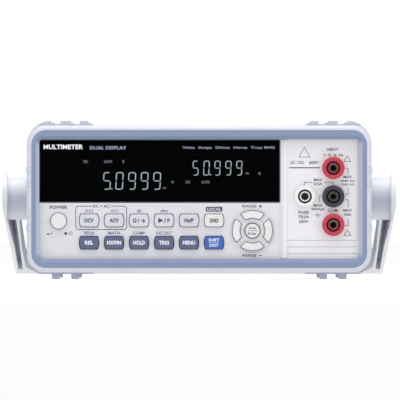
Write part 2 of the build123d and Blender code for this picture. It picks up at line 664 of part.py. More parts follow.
# ---------------------------------------------------------------- keys
for row_z, row_names in zip(KEY_ROWS_Z, KEY_NAMES):
    for column_x, key_name in zip(KEY_COLUMNS_X, row_names):
        with BuildPart() as key:
            with BuildSketch(upright(KEY_FRONT_Y)):
                with Locations((column_x, row_z)):
                    add(KEY_OUTLINE)
            extrude(amount=KEY_FRONT_Y - KEY_FLANGE_Y)
            fillet(key.faces().sort_by(Axis.Y)[0].edges(), KEY_EDGE_ROUND)
            with BuildSketch(upright(KEY_FLANGE_Y)):
                with Locations((column_x, row_z)):
                    add(KEY_FLANGE_OUTLINE)
            extrude(amount=-KEY_FLANGE_THICK)
            with BuildSketch(upright(KEY_FLANGE_Y + KEY_FLANGE_THICK)):
                with Locations((column_x, row_z)):
                    Circle(DOME_RADIUS)
            extrude(amount=-KEY_STEM)
        key.part.label = "key_" + key_name
        export_step(key.part, "parts/key_" + key_name + ".step")

for turn, key_name in zip(SECTOR_TURNS, PAD_KEY_NAMES):
    stem_angle = radians(90 + turn.orientation.Z)
    stem_radius = (PAD_OUTER + PAD_INNER) / 2
    with BuildPart() as key:
        with BuildSketch(upright(KEY_FRONT_Y)):
            with Locations(turn):
                add(SECTOR_OUTLINE)
        extrude(amount=KEY_FRONT_Y - KEY_FLANGE_Y)
        fillet(key.faces().sort_by(Axis.Y)[0].edges(), KEY_EDGE_ROUND)
        with BuildSketch(upright(KEY_FLANGE_Y)):
            with Locations(turn):
                add(SECTOR_FLANGE)
        extrude(amount=-KEY_FLANGE_THICK)
        with BuildSketch(upright(KEY_FLANGE_Y + KEY_FLANGE_THICK)):
            with Locations((PAD_X + stem_radius * cos(stem_angle), PAD_Z + stem_radius * sin(stem_angle))):
                Circle(DOME_RADIUS)
        extrude(amount=-KEY_STEM)
    key.part.label = "key_" + key_name
    export_step(key.part, "parts/key_" + key_name + ".step")

with BuildPart() as key_auto_range:
    with BuildSketch(upright(KEY_FRONT_Y)):
        with Locations((PAD_X, PAD_Z)):
            Circle(CENTRE_KEY_RADIUS)
    extrude(amount=KEY_FRONT_Y - KEY_FLANGE_Y)
    fillet(key_auto_range.faces().sort_by(Axis.Y)[0].edges(), KEY_EDGE_ROUND)
    with BuildSketch(upright(KEY_FLANGE_Y)):
        with Locations((PAD_X, PAD_Z)):
            Circle(CENTRE_KEY_RADIUS + CENTRE_KEY_GAP + KEY_FLANGE)
    extrude(amount=-KEY_FLANGE_THICK)
    with BuildSketch(upright(KEY_FLANGE_Y + KEY_FLANGE_THICK)):
        with Locations((PAD_X, PAD_Z)):
            Circle(DOME_RADIUS)
    extrude(amount=-KEY_STEM)
key_auto_range.part.label = "key_auto_range"
export_step(key_auto_range.part, "parts/key_auto_range.step")

with BuildPart() as power_button:
    with BuildSketch(upright(PANEL_Y - BUTTON_PROUD)):
        with Locations((BUTTON_X, BUTTON_Z)):
            Circle(BUTTON_RADIUS)
    extrude(amount=-(BUTTON_PROUD + KEY_FLANGE_Y - PANEL_Y))
    fillet(power_button.faces().sort_by(Axis.Y)[0].edges(), 2 * KEY_EDGE_ROUND)
    with BuildSketch(upright(KEY_FLANGE_Y)):
        with Locations((BUTTON_X, BUTTON_Z)):
            Circle(BUTTON_RADIUS + 2 * KEY_FLANGE)
    extrude(amount=-KEY_FLANGE_THICK)
power_button.part.label = "power_button"
export_step(power_button.part, "parts/power_button.step")

with BuildPart() as power_rod:
    with BuildSketch(upright(KEY_FLANGE_Y + KEY_FLANGE_THICK)):
        with Locations((BUTTON_X, BUTTON_Z)):
            Rectangle(ROD_SIZE, ROD_SIZE)
    extrude(amount=-(SWITCH_Y + BUTTON_TRAVEL - KEY_FLANGE_Y - KEY_FLANGE_THICK))
power_rod.part.label = "power_rod"
export_step(power_rod.part, "parts/power_rod.step")

with BuildPart() as mains_switch:
    with BuildSketch(upright(SWITCH_Y)):
        with Locations((BUTTON_X, BUTTON_Z)):
            RectangleRounded(SWITCH_SIZE, SWITCH_SIZE, SMALL_ROUND)
    extrude(amount=-(SWITCH_LENGTH - FIT_GAP))
    with BuildSketch(upright(SWITCH_Y)):
        with Locations((BUTTON_X, BUTTON_Z)):
            Rectangle(ROD_SIZE + 4 * FIT_GAP, ROD_SIZE + 4 * FIT_GAP)
    extrude(amount=-(3 * BUTTON_TRAVEL), mode=Mode.SUBTRACT)
mains_switch.part.label = "mains_switch"
export_step(mains_switch.part, "parts/mains_switch.step")

# ---------------------------------------------------------------- input sockets
def make_jack(place):
    """An insulated panel socket body: a collar with a deep ring for a plug's shroud."""
    with BuildPart() as jack:
        with BuildSketch(upright(JACK_FRONT_Y)):
            with Locations(place):
                Circle(JACK_RADIUS)
        extrude(amount=-JACK_PROUD)
        fillet(jack.faces().sort_by(Axis.Y)[0].edges(), JACK_ROUND)
        with BuildSketch(upright(PANEL_Y)):
            with Locations(place):
                Circle(BARREL_RADIUS)
        extrude(amount=-BARREL_LENGTH)
        with BuildSketch(upright(JACK_FRONT_Y)):
            with Locations(place):
                Circle(SHROUD_OUTER)
                Circle(SHROUD_INNER, mode=Mode.SUBTRACT)
        extrude(amount=-SHROUD_DEPTH, mode=Mode.SUBTRACT)
        with BuildSketch(upright(JACK_FRONT_Y)):
            with Locations(place):
                Circle(SOCKET_OUTER + FIT_GAP / 2)
        extrude(amount=-(JACK_PROUD + BARREL_LENGTH), mode=Mode.SUBTRACT)
    return jack


volt_jack = make_jack(JACK_PLACES[0])
volt_jack.part.label = "volt_jack"
export_step(volt_jack.part, "parts/volt_jack.step")

common_jack = make_jack(JACK_PLACES[1])
common_jack.part.label = "common_jack"
export_step(common_jack.part, "parts/common_jack.step")

amp_jack = make_jack(JACK_PLACES[2])
amp_jack.part.label = "amp_jack"
export_step(amp_jack.part, "parts/amp_jack.step")

with BuildPart() as jack_sockets:
    with BuildSketch(upright(JACK_FRONT_Y + SOCKET_RECESS)):
        with Locations(*JACK_PLACES):
            Circle(SOCKET_OUTER)
    extrude(amount=-SOCKET_LENGTH)
    with BuildSketch(upright(JACK_FRONT_Y + SOCKET_RECESS)):
        with Locations(*JACK_PLACES):
            Circle(SOCKET_BORE)
    extrude(amount=-SOCKET_DEPTH, mode=Mode.SUBTRACT)
jack_sockets.part.label = "jack_sockets"
export_step(jack_sockets.part, "parts/jack_sockets.step")

with BuildPart() as jack_nuts:
    with BuildSketch(upright(PANEL_BACK_Y)):
        with Locations(*JACK_PLACES):
            RegularPolygon(JACK_NUT_RADIUS, 6)
            Circle(BARREL_RADIUS + FIT_GAP / 2, mode=Mode.SUBTRACT)
    extrude(amount=-JACK_NUT_THICK)
jack_nuts.part.label = "jack_nuts"
export_step(jack_nuts.part, "parts/jack_nuts.step")

# The small-current socket doubles as the fuse carrier: twist the cap, then pull
with BuildPart() as fuse_housing:
    with BuildSketch(upright(PANEL_Y)):
        with Locations(FUSE_PLACE):
            Circle(HOUSING_RADIUS)
            Circle(FUSE_NECK + RUNNING_GAP, mode=Mode.SUBTRACT)
    extrude(amount=-HOUSING_LENGTH)
    with BuildSketch(upright(PANEL_Y + HOUSING_LENGTH)):
        with Locations(FUSE_PLACE):
            Circle(HOUSING_RADIUS)
    extrude(amount=-HOUSING_RIM_THICK)
    with BuildSketch(upright(PANEL_BACK_Y)):
        with Locations(FUSE_PLACE):
            Circle(HOUSING_RADIUS + HOUSING_RIM)
            Circle(HOUSING_RADIUS, mode=Mode.SUBTRACT)
    extrude(amount=-JACK_NUT_THICK)
fuse_housing.part.label = "fuse_housing"
export_step(fuse_housing.part, "parts/fuse_housing.step")

with BuildPart() as fuse_cap:
    with BuildSketch(upright(JACK_FRONT_Y)):
        with Locations(FUSE_PLACE):
            Circle(FUSE_CAP_RADIUS)
    extrude(amount=-(JACK_PROUD - FIT_GAP))
    fillet(fuse_cap.faces().sort_by(Axis.Y)[0].edges(), JACK_ROUND)
    with BuildSketch(upright(PANEL_Y - FIT_GAP)):
        with Locations(FUSE_PLACE):
            Circle(FUSE_NECK)
    extrude(amount=-FUSE_NECK_LENGTH)
    with BuildSketch(upright(JACK_FRONT_Y)):
        with Locations(FUSE_PLACE):
            Circle(SHROUD_OUTER)
            Circle(SHROUD_INNER, mode=Mode.SUBTRACT)
    extrude(amount=-FUSE_SHROUD_DEPTH, mode=Mode.SUBTRACT)
    with BuildSketch(upright(JACK_FRONT_Y)):
        with Locations(FUSE_PLACE):
            Circle(SOCKET_OUTER + FIT_GAP / 2)
    extrude(amount=-FUSE_SHROUD_DEPTH, mode=Mode.SUBTRACT)
fuse_cap.part.label = "fuse_cap"
export_step(fuse_cap.part, "parts/fuse_cap.step")

with BuildPart() as fuse_cap_socket:
    with BuildSketch(upright(JACK_FRONT_Y + SOCKET_RECESS)):
        with Locations(FUSE_PLACE):
            Circle(SOCKET_OUTER)
            Circle(SOCKET_BORE, mode=Mode.SUBTRACT)
    extrude(amount=-(FUSE_SHROUD_DEPTH - SOCKET_RECESS - FIT_GAP))
fuse_cap_socket.part.label = "fuse_cap_socket"
export_step(fuse_cap_socket.part, "parts/fuse_cap_socket.step")

with BuildPart() as fuse_carrier:
    with BuildSketch(upright(CARRIER_Y)):
        with Locations(FUSE_PLACE):
            Circle(FUSE_NECK - CARRIER_STEP)
    extrude(amount=-CARRIER_LENGTH)
    with BuildSketch(upright(CARRIER_Y + CARRIER_FLOOR)):
        with Locations(FUSE_PLACE):
            Circle(FUSE_RADIUS + FIT_GAP)
    extrude(amount=-CARRIER_LENGTH, mode=Mode.SUBTRACT)
fuse_carrier.part.label = "fuse_carrier"
export_step(fuse_carrier.part, "parts/fuse_carrier.step")

with BuildPart() as input_fuse:
    with BuildSketch(upright(CARRIER_Y + CARRIER_FLOOR + FIT_GAP)):
        with Locations(FUSE_PLACE):
            Circle(FUSE_RADIUS)
    extrude(amount=-FUSE_LENGTH)
    fillet(input_fuse.edges().filter_by(GeomType.CIRCLE), FUSE_END_ROUND)
input_fuse.part.label = "input_fuse"
export_step(input_fuse.part, "parts/input_fuse.step")

# ---------------------------------------------------------------- handle
# Along the arm lies the X of this plane, and its Z points out of the arm's open side
ARM_PLANE = Plane(
    origin=(0, PIVOT_Y, PIVOT_Z), x_dir=(0, cos(ANGLE), -sin(ANGLE)), z_dir=(0, -sin(ANGLE), -cos(ANGLE))
)


def arm_outline(hub_radius):
    """The side view of an arm: a round hub tapering to the flat end at the grip."""
    with BuildSketch() as outline:
        with Locations((PIVOT_Y, PIVOT_Z)):
            Circle(hub_radius)
        with Locations((GRIP_Y, GRIP_Z)):
            RectangleRounded(GRIP_DEPTH, GRIP_THICK, GRIP_ROUND)
        make_hull()
    return outline.sketch


BODY_OUTLINE = arm_outline(HUB_RADIUS)
PLATE_OUTLINE = arm_outline(PLATE_RADIUS)

# The outer skin of the arm, crowned across its width and closing in towards the grip
ACROSS_ARM = (0, sin(ANGLE), cos(ANGLE))
SKIN_PLANE = Plane(
    origin=(HANDLE_HALF_WIDTH, PIVOT_Y + SKIN_START_U * cos(ANGLE), PIVOT_Z - SKIN_START_U * sin(ANGLE)),
    x_dir=ACROSS_ARM,
    z_dir=(-sin(SKIN_SLOPE), cos(SKIN_SLOPE) * cos(ANGLE), -cos(SKIN_SLOPE) * sin(ANGLE)),
)
with BuildPart() as arm_plate:
    with BuildSketch(Plane.YZ.offset(HUB_INNER_X)):
        add(PLATE_OUTLINE)
    extrude(amount=HANDLE_HALF_WIDTH - HUB_INNER_X)
    with BuildSketch(ARM_PLANE):
        with BuildLine():
            Polyline(
                (ARM_NEAR_U, PLATE_INNER_X),
                (SKIN_INNER_NEAR_U, PLATE_INNER_X),
                (SKIN_INNER_MID_U, SKIN_INNER_MID_X),
                (ARM_FAR_U, SKIN_END_INNER_X),
                (ARM_FAR_U, HANDLE_HALF_WIDTH),
                (ARM_NEAR_U, HANDLE_HALF_WIDTH),
                close=True,
            )
        make_face()
    extrude(amount=2 * PLATE_RADIUS, both=True, mode=Mode.INTERSECT)
    with BuildSketch(SKIN_PLANE):
        with BuildLine():
            ThreePointArc((-SKIN_CROWN_REACH, -SKIN_SAG), (0, 0), (SKIN_CROWN_REACH, -SKIN_SAG))
            Polyline(
                (SKIN_CROWN_REACH, -SKIN_SAG),
                (SKIN_CROWN_REACH, -SKIN_DEEP),
                (-SKIN_CROWN_REACH, -SKIN_DEEP),
                (-SKIN_CROWN_REACH, -SKIN_SAG),
            )
        make_face()
    extrude(amount=2 * ARM_FAR_U, both=True, mode=Mode.INTERSECT)


# The hollow inside the arm, open along the side that faces down and forward
OPEN_SHIFT = (-2 * HUB_RADIUS * sin(ANGLE), -2 * HUB_RADIUS * cos(ANGLE))
with BuildPart() as arm_channel:
    with BuildSketch(Plane.YZ.offset(HUB_INNER_X)):
        with Locations((PIVOT_Y, PIVOT_Z), (PIVOT_Y + OPEN_SHIFT[0], PIVOT_Z + OPEN_SHIFT[1])):
            Circle(HUB_RADIUS - ARM_WALL)
        with Locations((GRIP_Y, GRIP_Z), (GRIP_Y + OPEN_SHIFT[0], GRIP_Z + OPEN_SHIFT[1])):
            Circle(CHANNEL_TIP_RADIUS)
        make_hull()
    extrude(amount=HANDLE_HALF_WIDTH - HUB_INNER_X)
    with BuildSketch(ARM_PLANE):
        with BuildLine():
            Polyline(
                (CHANNEL_NEAR_U, HANDLE_HALF_WIDTH),
                (CHANNEL_NEAR_U, CHANNEL_NEAR_X),
                (CHANNEL_END_U, CHANNEL_END_X),
                (CHANNEL_END_U, HANDLE_HALF_WIDTH),
                close=True,
            )
        make_face()
    extrude(amount=4 * HUB_RADIUS, both=True, mode=Mode.INTERSECT)

with BuildPart() as handle_right_arm:
    with BuildSketch(Plane.YZ.offset(HUB_INNER_X)):
        add(BODY_OUTLINE)
    extrude(amount=HANDLE_HALF_WIDTH - HUB_INNER_X)
    with BuildSketch(ARM_PLANE):
        with BuildLine():
            Polyline(
                (ARM_NEAR_U, FLANGE_NEAR_X),
                (FLANGE_MID_U, FLANGE_MID_X),
                (FLANGE_FAR_U, FLANGE_FAR_X),
                (GUSSET_U, ARM_END_INNER_X),
                (ARM_FAR_U, ARM_END_INNER_X),
                (ARM_FAR_U, SKIN_END_INNER_X + SKIN_OVERLAP),
                (SKIN_INNER_MID_U, SKIN_INNER_MID_X + SKIN_OVERLAP),
                (SKIN_INNER_NEAR_U, PLATE_INNER_X + SKIN_OVERLAP),
                (ARM_NEAR_U, PLATE_INNER_X + SKIN_OVERLAP),
                close=True,
            )
        make_face()
    extrude(amount=2 * PLATE_RADIUS, both=True, mode=Mode.INTERSECT)
    add(arm_channel.part, mode=Mode.SUBTRACT)
    add(arm_plate.part)
    # Hub that turns on the boss
    with BuildSketch(Plane.YZ.offset(HUB_INNER_X)):
        with Locations((PIVOT_Y, PIVOT_Z)):
            Circle(HUB_RADIUS)
    extrude(amount=PLATE_INNER_X - HUB_INNER_X)
    with BuildSketch(Plane.YZ.offset(HUB_INNER_X)):
        with Locations((PIVOT_Y, PIVOT_Z)):
            Circle(BOSS_RADIUS + RUNNING_GAP)
    extrude(amount=BOSS_END_X + FIT_GAP - HUB_INNER_X, mode=Mode.SUBTRACT)
    # Shallow dish in the middle of the outer disc
    with BuildSketch(Plane(origin=(SKIN_HUB_X, PIVOT_Y, PIVOT_Z), x_dir=ACROSS_ARM, z_dir=SKIN_PLANE.y_dir)):
        Circle(HUB_DISH_RADIUS)
    extrude(amount=-HUB_DISH_DEPTH, mode=Mode.SUBTRACT)
    # Pocket for the tongue of the grip
    with BuildSketch(Plane.YZ.offset(HUB_INNER_X)):
        with Locations((GRIP_Y, GRIP_Z)):
            Rectangle(TONGUE_DEPTH + 2 * FIT_GAP, TONGUE_THICK + 2 * FIT_GAP)
    extrude(amount=TONGUE_END_X + FIT_GAP - HUB_INNER_X, mode=Mode.SUBTRACT)
handle_right_arm.part.label = "handle_right_arm"
export_step(handle_right_arm.part, "parts/handle_right_arm.step")

with BuildPart() as handle_left_arm:
    mirror(handle_right_arm.part, about=Plane.YZ)
handle_left_arm.part.label = "handle_left_arm"
export_step(handle_left_arm.part, "parts/handle_left_arm.step")

with BuildPart() as handle_grip:
    with BuildSketch(Plane.YZ):
        with Locations((GRIP_Y, GRIP_Z)):
            RectangleRounded(GRIP_DEPTH, GRIP_THICK, GRIP_ROUND)
    extrude(amount=ARM_END_INNER_X - FIT_GAP, both=True)
    with BuildSketch(Plane.YZ):
        with Locations((GRIP_Y, GRIP_Z)):
            Rectangle(TONGUE_DEPTH, TONGUE_THICK)
    extrude(amount=TONGUE_END_X, both=True)
handle_grip.part.label = "handle_grip"
export_step(handle_grip.part, "parts/handle_grip.step")

with BuildPart() as handle_bosses:
    with BuildSketch(Plane.YZ.offset(CASE_HALF_WIDTH)):
        with Locations((PIVOT_Y, PIVOT_Z)):
            Circle(BOSS_RADIUS)
    extrude(amount=BOSS_END_X - CASE_HALF_WIDTH)
    with BuildSketch(Plane.YZ.offset(CASE_HALF_WIDTH)):
        with Locations((PIVOT_Y, PIVOT_Z)):
            Circle(PIVOT_SCREW_RADIUS + FIT_GAP / 2)
    extrude(amount=PIVOT_SCREW_LENGTH, mode=Mode.SUBTRACT)
    mirror(about=Plane.YZ)
handle_bosses.part.label = "handle_bosses"
export_step(handle_bosses.part, "parts/handle_bosses.step")

# ---------------------------------------------------------------- boards and power supply
with BuildPart() as main_board:
    with BuildSketch(level(BOARD_Z)):
        with BuildLine():
            Polyline(
                (-BOARD_HALF_WIDTH, BOARD_FRONT_Y),
                (BOARD_HALF_WIDTH, BOARD_FRONT_Y),
                (BOARD_HALF_WIDTH, BOARD_BACK_Y),
                (BOARD_NOTCH_X, BOARD_BACK_Y),
                (BOARD_NOTCH_X, BOARD_NOTCH_Y),
                (-BOARD_HALF_WIDTH, BOARD_NOTCH_Y),
                close=True,
            )
        make_face()
        with Locations(*STANDOFF_PLACES):
            Circle(STANDOFF_BORE + FIT_GAP, mode=Mode.SUBTRACT)
        with Locations((BUTTON_X, SWITCH_Y + SWITCH_LENGTH)):
            Rectangle(SWITCH_SIZE + 2, 3 * SHEET, mode=Mode.SUBTRACT)
    extrude(amount=BOARD_THICK)
main_board.part.label = "main_board"
export_step(main_board.part, "parts/main_board.step")

with BuildPart() as board_standoffs:
    with BuildSketch(level(CASE_BOTTOM_Z + SHEET)):
        with Locations(*STANDOFF_PLACES):
            RegularPolygon(STANDOFF_RADIUS, 6)
    extrude(amount=BOARD_Z - CASE_BOTTOM_Z - SHEET)
    with BuildSketch(level(BOARD_Z)):
        with Locations(*STANDOFF_PLACES):
            Circle(STANDOFF_BORE + FIT_GAP / 2)
    extrude(amount=-BOARD_SCREW_LENGTH, mode=Mode.SUBTRACT)
board_standoffs.part.label = "board_standoffs"
export_step(board_standoffs.part, "parts/board_standoffs.step")

# Every machine screw: three a side in the case, one in each handle boss, six in the board
with BuildPart() as screws:
    with BuildSketch(Plane.YZ.offset(CASE_HALF_WIDTH)):
        with Locations(*CASE_SCREW_PLACES):
            Circle(SCREW_HEAD_RADIUS)
    extrude(amount=SCREW_HEAD_HEIGHT)
    with BuildSketch(Plane.YZ.offset(CASE_HALF_WIDTH + SCREW_HEAD_HEIGHT)):
        with Locations(*CASE_SCREW_PLACES):
            Rectangle(SCREW_SLOT_LENGTH, SCREW_SLOT_WIDTH)
            Rectangle(SCREW_SLOT_WIDTH, SCREW_SLOT_LENGTH)
    extrude(amount=-SCREW_SLOT_DEPTH, mode=Mode.SUBTRACT)
    with BuildSketch(Plane.YZ.offset(CASE_HALF_WIDTH)):
        with Locations(*CASE_SCREW_PLACES):
            Circle(CASE_SCREW_RADIUS)
    extrude(amount=-CASE_SCREW_LENGTH)
    with BuildSketch(Plane.YZ.offset(CASE_HALF_WIDTH - SHEET)):
        with Locations((PIVOT_Y, PIVOT_Z)):
            Circle(PIVOT_SCREW_RADIUS)
    extrude(amount=PIVOT_SCREW_LENGTH)
    with BuildSketch(Plane.YZ.offset(CASE_HALF_WIDTH - SHEET)):
        with Locations((PIVOT_Y, PIVOT_Z)):
            Circle(PIVOT_HEAD_RADIUS)
    extrude(amount=-SCREW_HEAD_HEIGHT)
    mirror(about=Plane.YZ)
    with BuildSketch(level(BOARD_TOP_Z)):
        with Locations(*STANDOFF_PLACES):
            Circle(SCREW_HEAD_RADIUS)
    extrude(amount=SCREW_HEAD_HEIGHT)
    with BuildSketch(level(BOARD_TOP_Z)):
        with Locations(*STANDOFF_PLACES):
            Circle(STANDOFF_BORE)
    extrude(amount=-BOARD_SCREW_LENGTH)
screws.part.label = "screws"
export_step(screws.part, "parts/screws.step")

CORE_BASE_Z = CASE_BOTTOM_Z + SHEET
with BuildPart() as transformer_core:
    with BuildSketch(upright(TRANSFORMER_Y - CORE_STACK / 2)):
        with Locations((TRANSFORMER_X, CORE_BASE_Z + CORE_HEIGHT / 2)):
            Rectangle(CORE_WIDTH, CORE_HEIGHT)
            with GridLocations(CORE_CENTRE + CORE_WINDOW_WIDTH, 1, 2, 1):
                Rectangle(CORE_WINDOW_WIDTH, CORE_HEIGHT - 2 * CORE_LIMB, mode=Mode.SUBTRACT)
    extrude(amount=-CORE_STACK)
transformer_core.part.label = "transformer_core"
export_step(transformer_core.part, "parts/transformer_core.step")

with BuildPart() as transformer_winding:
    with BuildSketch(level(CORE_BASE_Z + CORE_LIMB + FIT_GAP)):
        with Locations((TRANSFORMER_X, TRANSFORMER_Y)):
            RectangleRounded(WINDING_WIDTH, WINDING_DEPTH, 4)
            Rectangle(CORE_CENTRE + 4 * FIT_GAP, CORE_STACK + 4 * FIT_GAP, mode=Mode.SUBTRACT)
    extrude(amount=CORE_HEIGHT - 2 * CORE_LIMB - 2 * FIT_GAP)
transformer_winding.part.label = "transformer_winding"
export_step(transformer_winding.part, "parts/transformer_winding.step")

with BuildPart() as filter_capacitors:
    with BuildSketch(level(BOARD_TOP_Z)):
        with Locations(*CAPACITOR_PLACES):
            Circle(CAPACITOR_RADIUS)
    extrude(amount=CAPACITOR_HEIGHT)
    fillet(filter_capacitors.faces().filter_by(Plane.XY).edges(), SMALL_ROUND)
filter_capacitors.part.label = "filter_capacitors"
export_step(filter_capacitors.part, "parts/filter_capacitors.step")

with BuildPart() as heat_sink:
    with BuildSketch(level(BOARD_TOP_Z)):
        with Locations(HEAT_SINK_PLACE):
            Rectangle(HEAT_SINK_WIDTH, SHEET * 2)
            with GridLocations(HEAT_SINK_WIDTH / 6, 1, 7, 1):
                Rectangle(SHEET * 1.2, HEAT_SINK_DEPTH)
    extrude(amount=HEAT_SINK_HEIGHT)
heat_sink.part.label = "heat_sink"
export_step(heat_sink.part, "parts/heat_sink.step")

with BuildPart() as range_relays:
    with BuildSketch(level(BOARD_TOP_Z)):
        with Locations(RELAY_MIDDLE):
            with GridLocations(RELAY_WIDTH * 1.5, RELAY_DEPTH * 1.4, 3, 2):
                RectangleRounded(RELAY_WIDTH, RELAY_DEPTH, SMALL_ROUND)
    extrude(amount=RELAY_HEIGHT)
range_relays.part.label = "range_relays"
export_step(range_relays.part, "parts/range_relays.step")

# Flat cable from the display board down to the main board
with BuildPart() as ribbon_cable:
    with BuildSketch(Plane.YZ.offset(-RIBBON_WIDTH / 2)):
        with BuildLine() as run:
            Spline(
                (DISPLAY_BOARD_Y + BOARD_THICK + FIT_GAP, RIBBON_TOP_Z),
                (RIBBON_END_Y, BOARD_TOP_Z + FIT_GAP),
                tangents=((1, 0), (0, -1)),
            )
        trace(line_width=RIBBON_THICK)
    extrude(amount=RIBBON_WIDTH)
ribbon_cable.part.label = "ribbon_cable"
export_step(ribbon_cable.part, "parts/ribbon_cable.step")

# ---------------------------------------------------------------- rear panel
with BuildPart() as rear_panel:
    with BuildSketch(upright(REAR_PANEL_Y)):
        with Locations((0, CASE_MID_Z)):
            RectangleRounded(2 * (TRAY_HALF_WIDTH - FIT_GAP), SKIRT_HEIGHT, CASE_CORNER - SHEET)
        with Locations((INLET_X, INLET_Z)):
            Rectangle(INLET_WIDTH + 4 * FIT_GAP, INLET_HEIGHT + 4 * FIT_GAP, mode=Mode.SUBTRACT)
        with Locations((USB_X, USB_Z)):
            Rectangle(USB_WIDTH + 4 * FIT_GAP, USB_HEIGHT + 4 * FIT_GAP, mode=Mode.SUBTRACT)
        with Locations((SERIAL_X, SERIAL_Z)):
            Rectangle(SERIAL_HOLE_WIDTH, SERIAL_HOLE_HEIGHT, mode=Mode.SUBTRACT)
            with GridLocations(SERIAL_SCREW_PITCH, 1, 2, 1):
                Circle(JACKSCREW_NECK + FIT_GAP, mode=Mode.SUBTRACT)
        with Locations((REAR_VENT_X, REAR_VENT_Z)):
            with GridLocations(1, REAR_VENT_PITCH, 1, REAR_VENT_COUNT):
                SlotOverall(REAR_VENT_LENGTH, VENT_WIDTH, mode=Mode.SUBTRACT)
    extrude(amount=-REAR_PANEL_THICK)
rear_panel.part.label = "rear_panel"
export_step(rear_panel.part, "parts/rear_panel.step")

with BuildPart() as mains_inlet:
    with BuildSketch(upright(REAR_FACE_Y - INLET_DEPTH)):
        with Locations((INLET_X, INLET_Z)):
            Rectangle(INLET_WIDTH, INLET_HEIGHT)
    extrude(amount=-INLET_DEPTH)
    with BuildSketch(upright(REAR_FACE_Y)):
        with Locations((INLET_X, INLET_Z)):
            RectangleRounded(INLET_WIDTH + 5, INLET_HEIGHT + 5, 2)
    extrude(amount=-INLET_FLANGE)
    fillet(mains_inlet.faces().sort_by(Axis.Y)[-1].edges(), SMALL_ROUND)
    # Keyed recess for the mains plug, with its two lower corners cut off
    with BuildSketch(upright(REAR_FACE_Y + INLET_FLANGE)) as plug_opening:
        with Locations((INLET_X, PIN_WINDOW_Z)):
            Rectangle(PLUG_WIDTH, PLUG_HEIGHT)
        chamfer(plug_opening.vertices().group_by(Axis.Z)[0], PLUG_CORNER)
    extrude(amount=PLUG_DEPTH, mode=Mode.SUBTRACT)
    # Tunnel for the fuse drawer
    with BuildSketch(upright(REAR_FACE_Y + INLET_FLANGE)):
        with Locations((INLET_X, DRAWER_Z)):
            Rectangle(DRAWER_WIDTH + 4 * FIT_GAP, DRAWER_HEIGHT + 4 * FIT_GAP)
    extrude(amount=DRAWER_DEPTH + FIT_GAP, mode=Mode.SUBTRACT)
mains_inlet.part.label = "mains_inlet"
export_step(mains_inlet.part, "parts/mains_inlet.step")

with BuildPart() as inlet_pins:
    with BuildSketch(upright(REAR_FACE_Y + INLET_FLANGE - PLUG_DEPTH)):
        with Locations((INLET_X, PIN_WINDOW_Z)):
            with Locations((-7, 2), (7, 2), (0, -2)):
                RectangleRounded(PIN_HOLE_WIDTH, PIN_HOLE_HEIGHT, SECTOR_ROUND)
    extrude(amount=-(PLUG_DEPTH - PLUG_PIN_INSET))
inlet_pins.part.label = "inlet_pins"
export_step(inlet_pins.part, "parts/inlet_pins.step")

with BuildPart() as fuse_drawer:
    with BuildSketch(upright(REAR_FACE_Y + INLET_FLANGE)):
        with Locations((INLET_X, DRAWER_Z)):
            Rectangle(DRAWER_WIDTH, DRAWER_HEIGHT)
    extrude(amount=DRAWER_DEPTH)
    fillet(fuse_drawer.faces().sort_by(Axis.Y)[-1].edges(), SECTOR_ROUND)
    # Cradle that is open on top, for two fuses side by side
    with BuildSketch(level(DRAWER_Z + DRAWER_HEIGHT / 2)):
        with Locations((INLET_X, REAR_FACE_Y + INLET_FLANGE - DRAWER_CRADLE_INSET)):
            Rectangle(FUSE_LENGTH + 2 * FIT_GAP, DRAWER_CRADLE_LENGTH, align=(Align.CENTER, Align.MAX))
    extrude(amount=-(DRAWER_HEIGHT - 2), mode=Mode.SUBTRACT)
    # Finger notch in the front of the drawer
    with BuildSketch(upright(REAR_FACE_Y + INLET_FLANGE)):
        with Locations((INLET_X, DRAWER_Z)):
            SlotOverall(DRAWER_WIDTH / 2, DRAWER_HEIGHT / 3)
    extrude(amount=1.2, mode=Mode.SUBTRACT)
fuse_drawer.part.label = "fuse_drawer"
export_step(fuse_drawer.part, "parts/fuse_drawer.step")

with BuildPart() as mains_fuses:
    with BuildSketch(Plane.YZ.offset(INLET_X - FUSE_LENGTH / 2)):
        with Locations(*MAINS_FUSE_PLACES):
            Circle(FUSE_RADIUS)
    extrude(amount=FUSE_LENGTH)
mains_fuses.part.label = "mains_fuses"
export_step(mains_fuses.part, "parts/mains_fuses.step")

with BuildPart() as usb_port:
    with BuildSketch(upright(REAR_PANEL_Y - USB_DEPTH)):
        with Locations((USB_X, USB_Z)):
            Rectangle(USB_WIDTH, USB_HEIGHT)
    extrude(amount=-(USB_DEPTH + REAR_PANEL_THICK + USB_PROUD))
    with BuildSketch(upright(REAR_FACE_Y + USB_PROUD)) as mouth:
        with Locations((USB_X, USB_Z)):
            Rectangle(USB_MOUTH_WIDTH, USB_MOUTH_HEIGHT)
        chamfer(mouth.vertices().group_by(Axis.Z)[-1], USB_CORNER)
        with Locations((USB_X, USB_Z)):
            Rectangle(USB_TONGUE_WIDTH, USB_TONGUE_HEIGHT, mode=Mode.SUBTRACT)
    extrude(amount=USB_MOUTH_DEPTH, mode=Mode.SUBTRACT)
usb_port.part.label = "usb_port"
export_step(usb_port.part, "parts/usb_port.step")

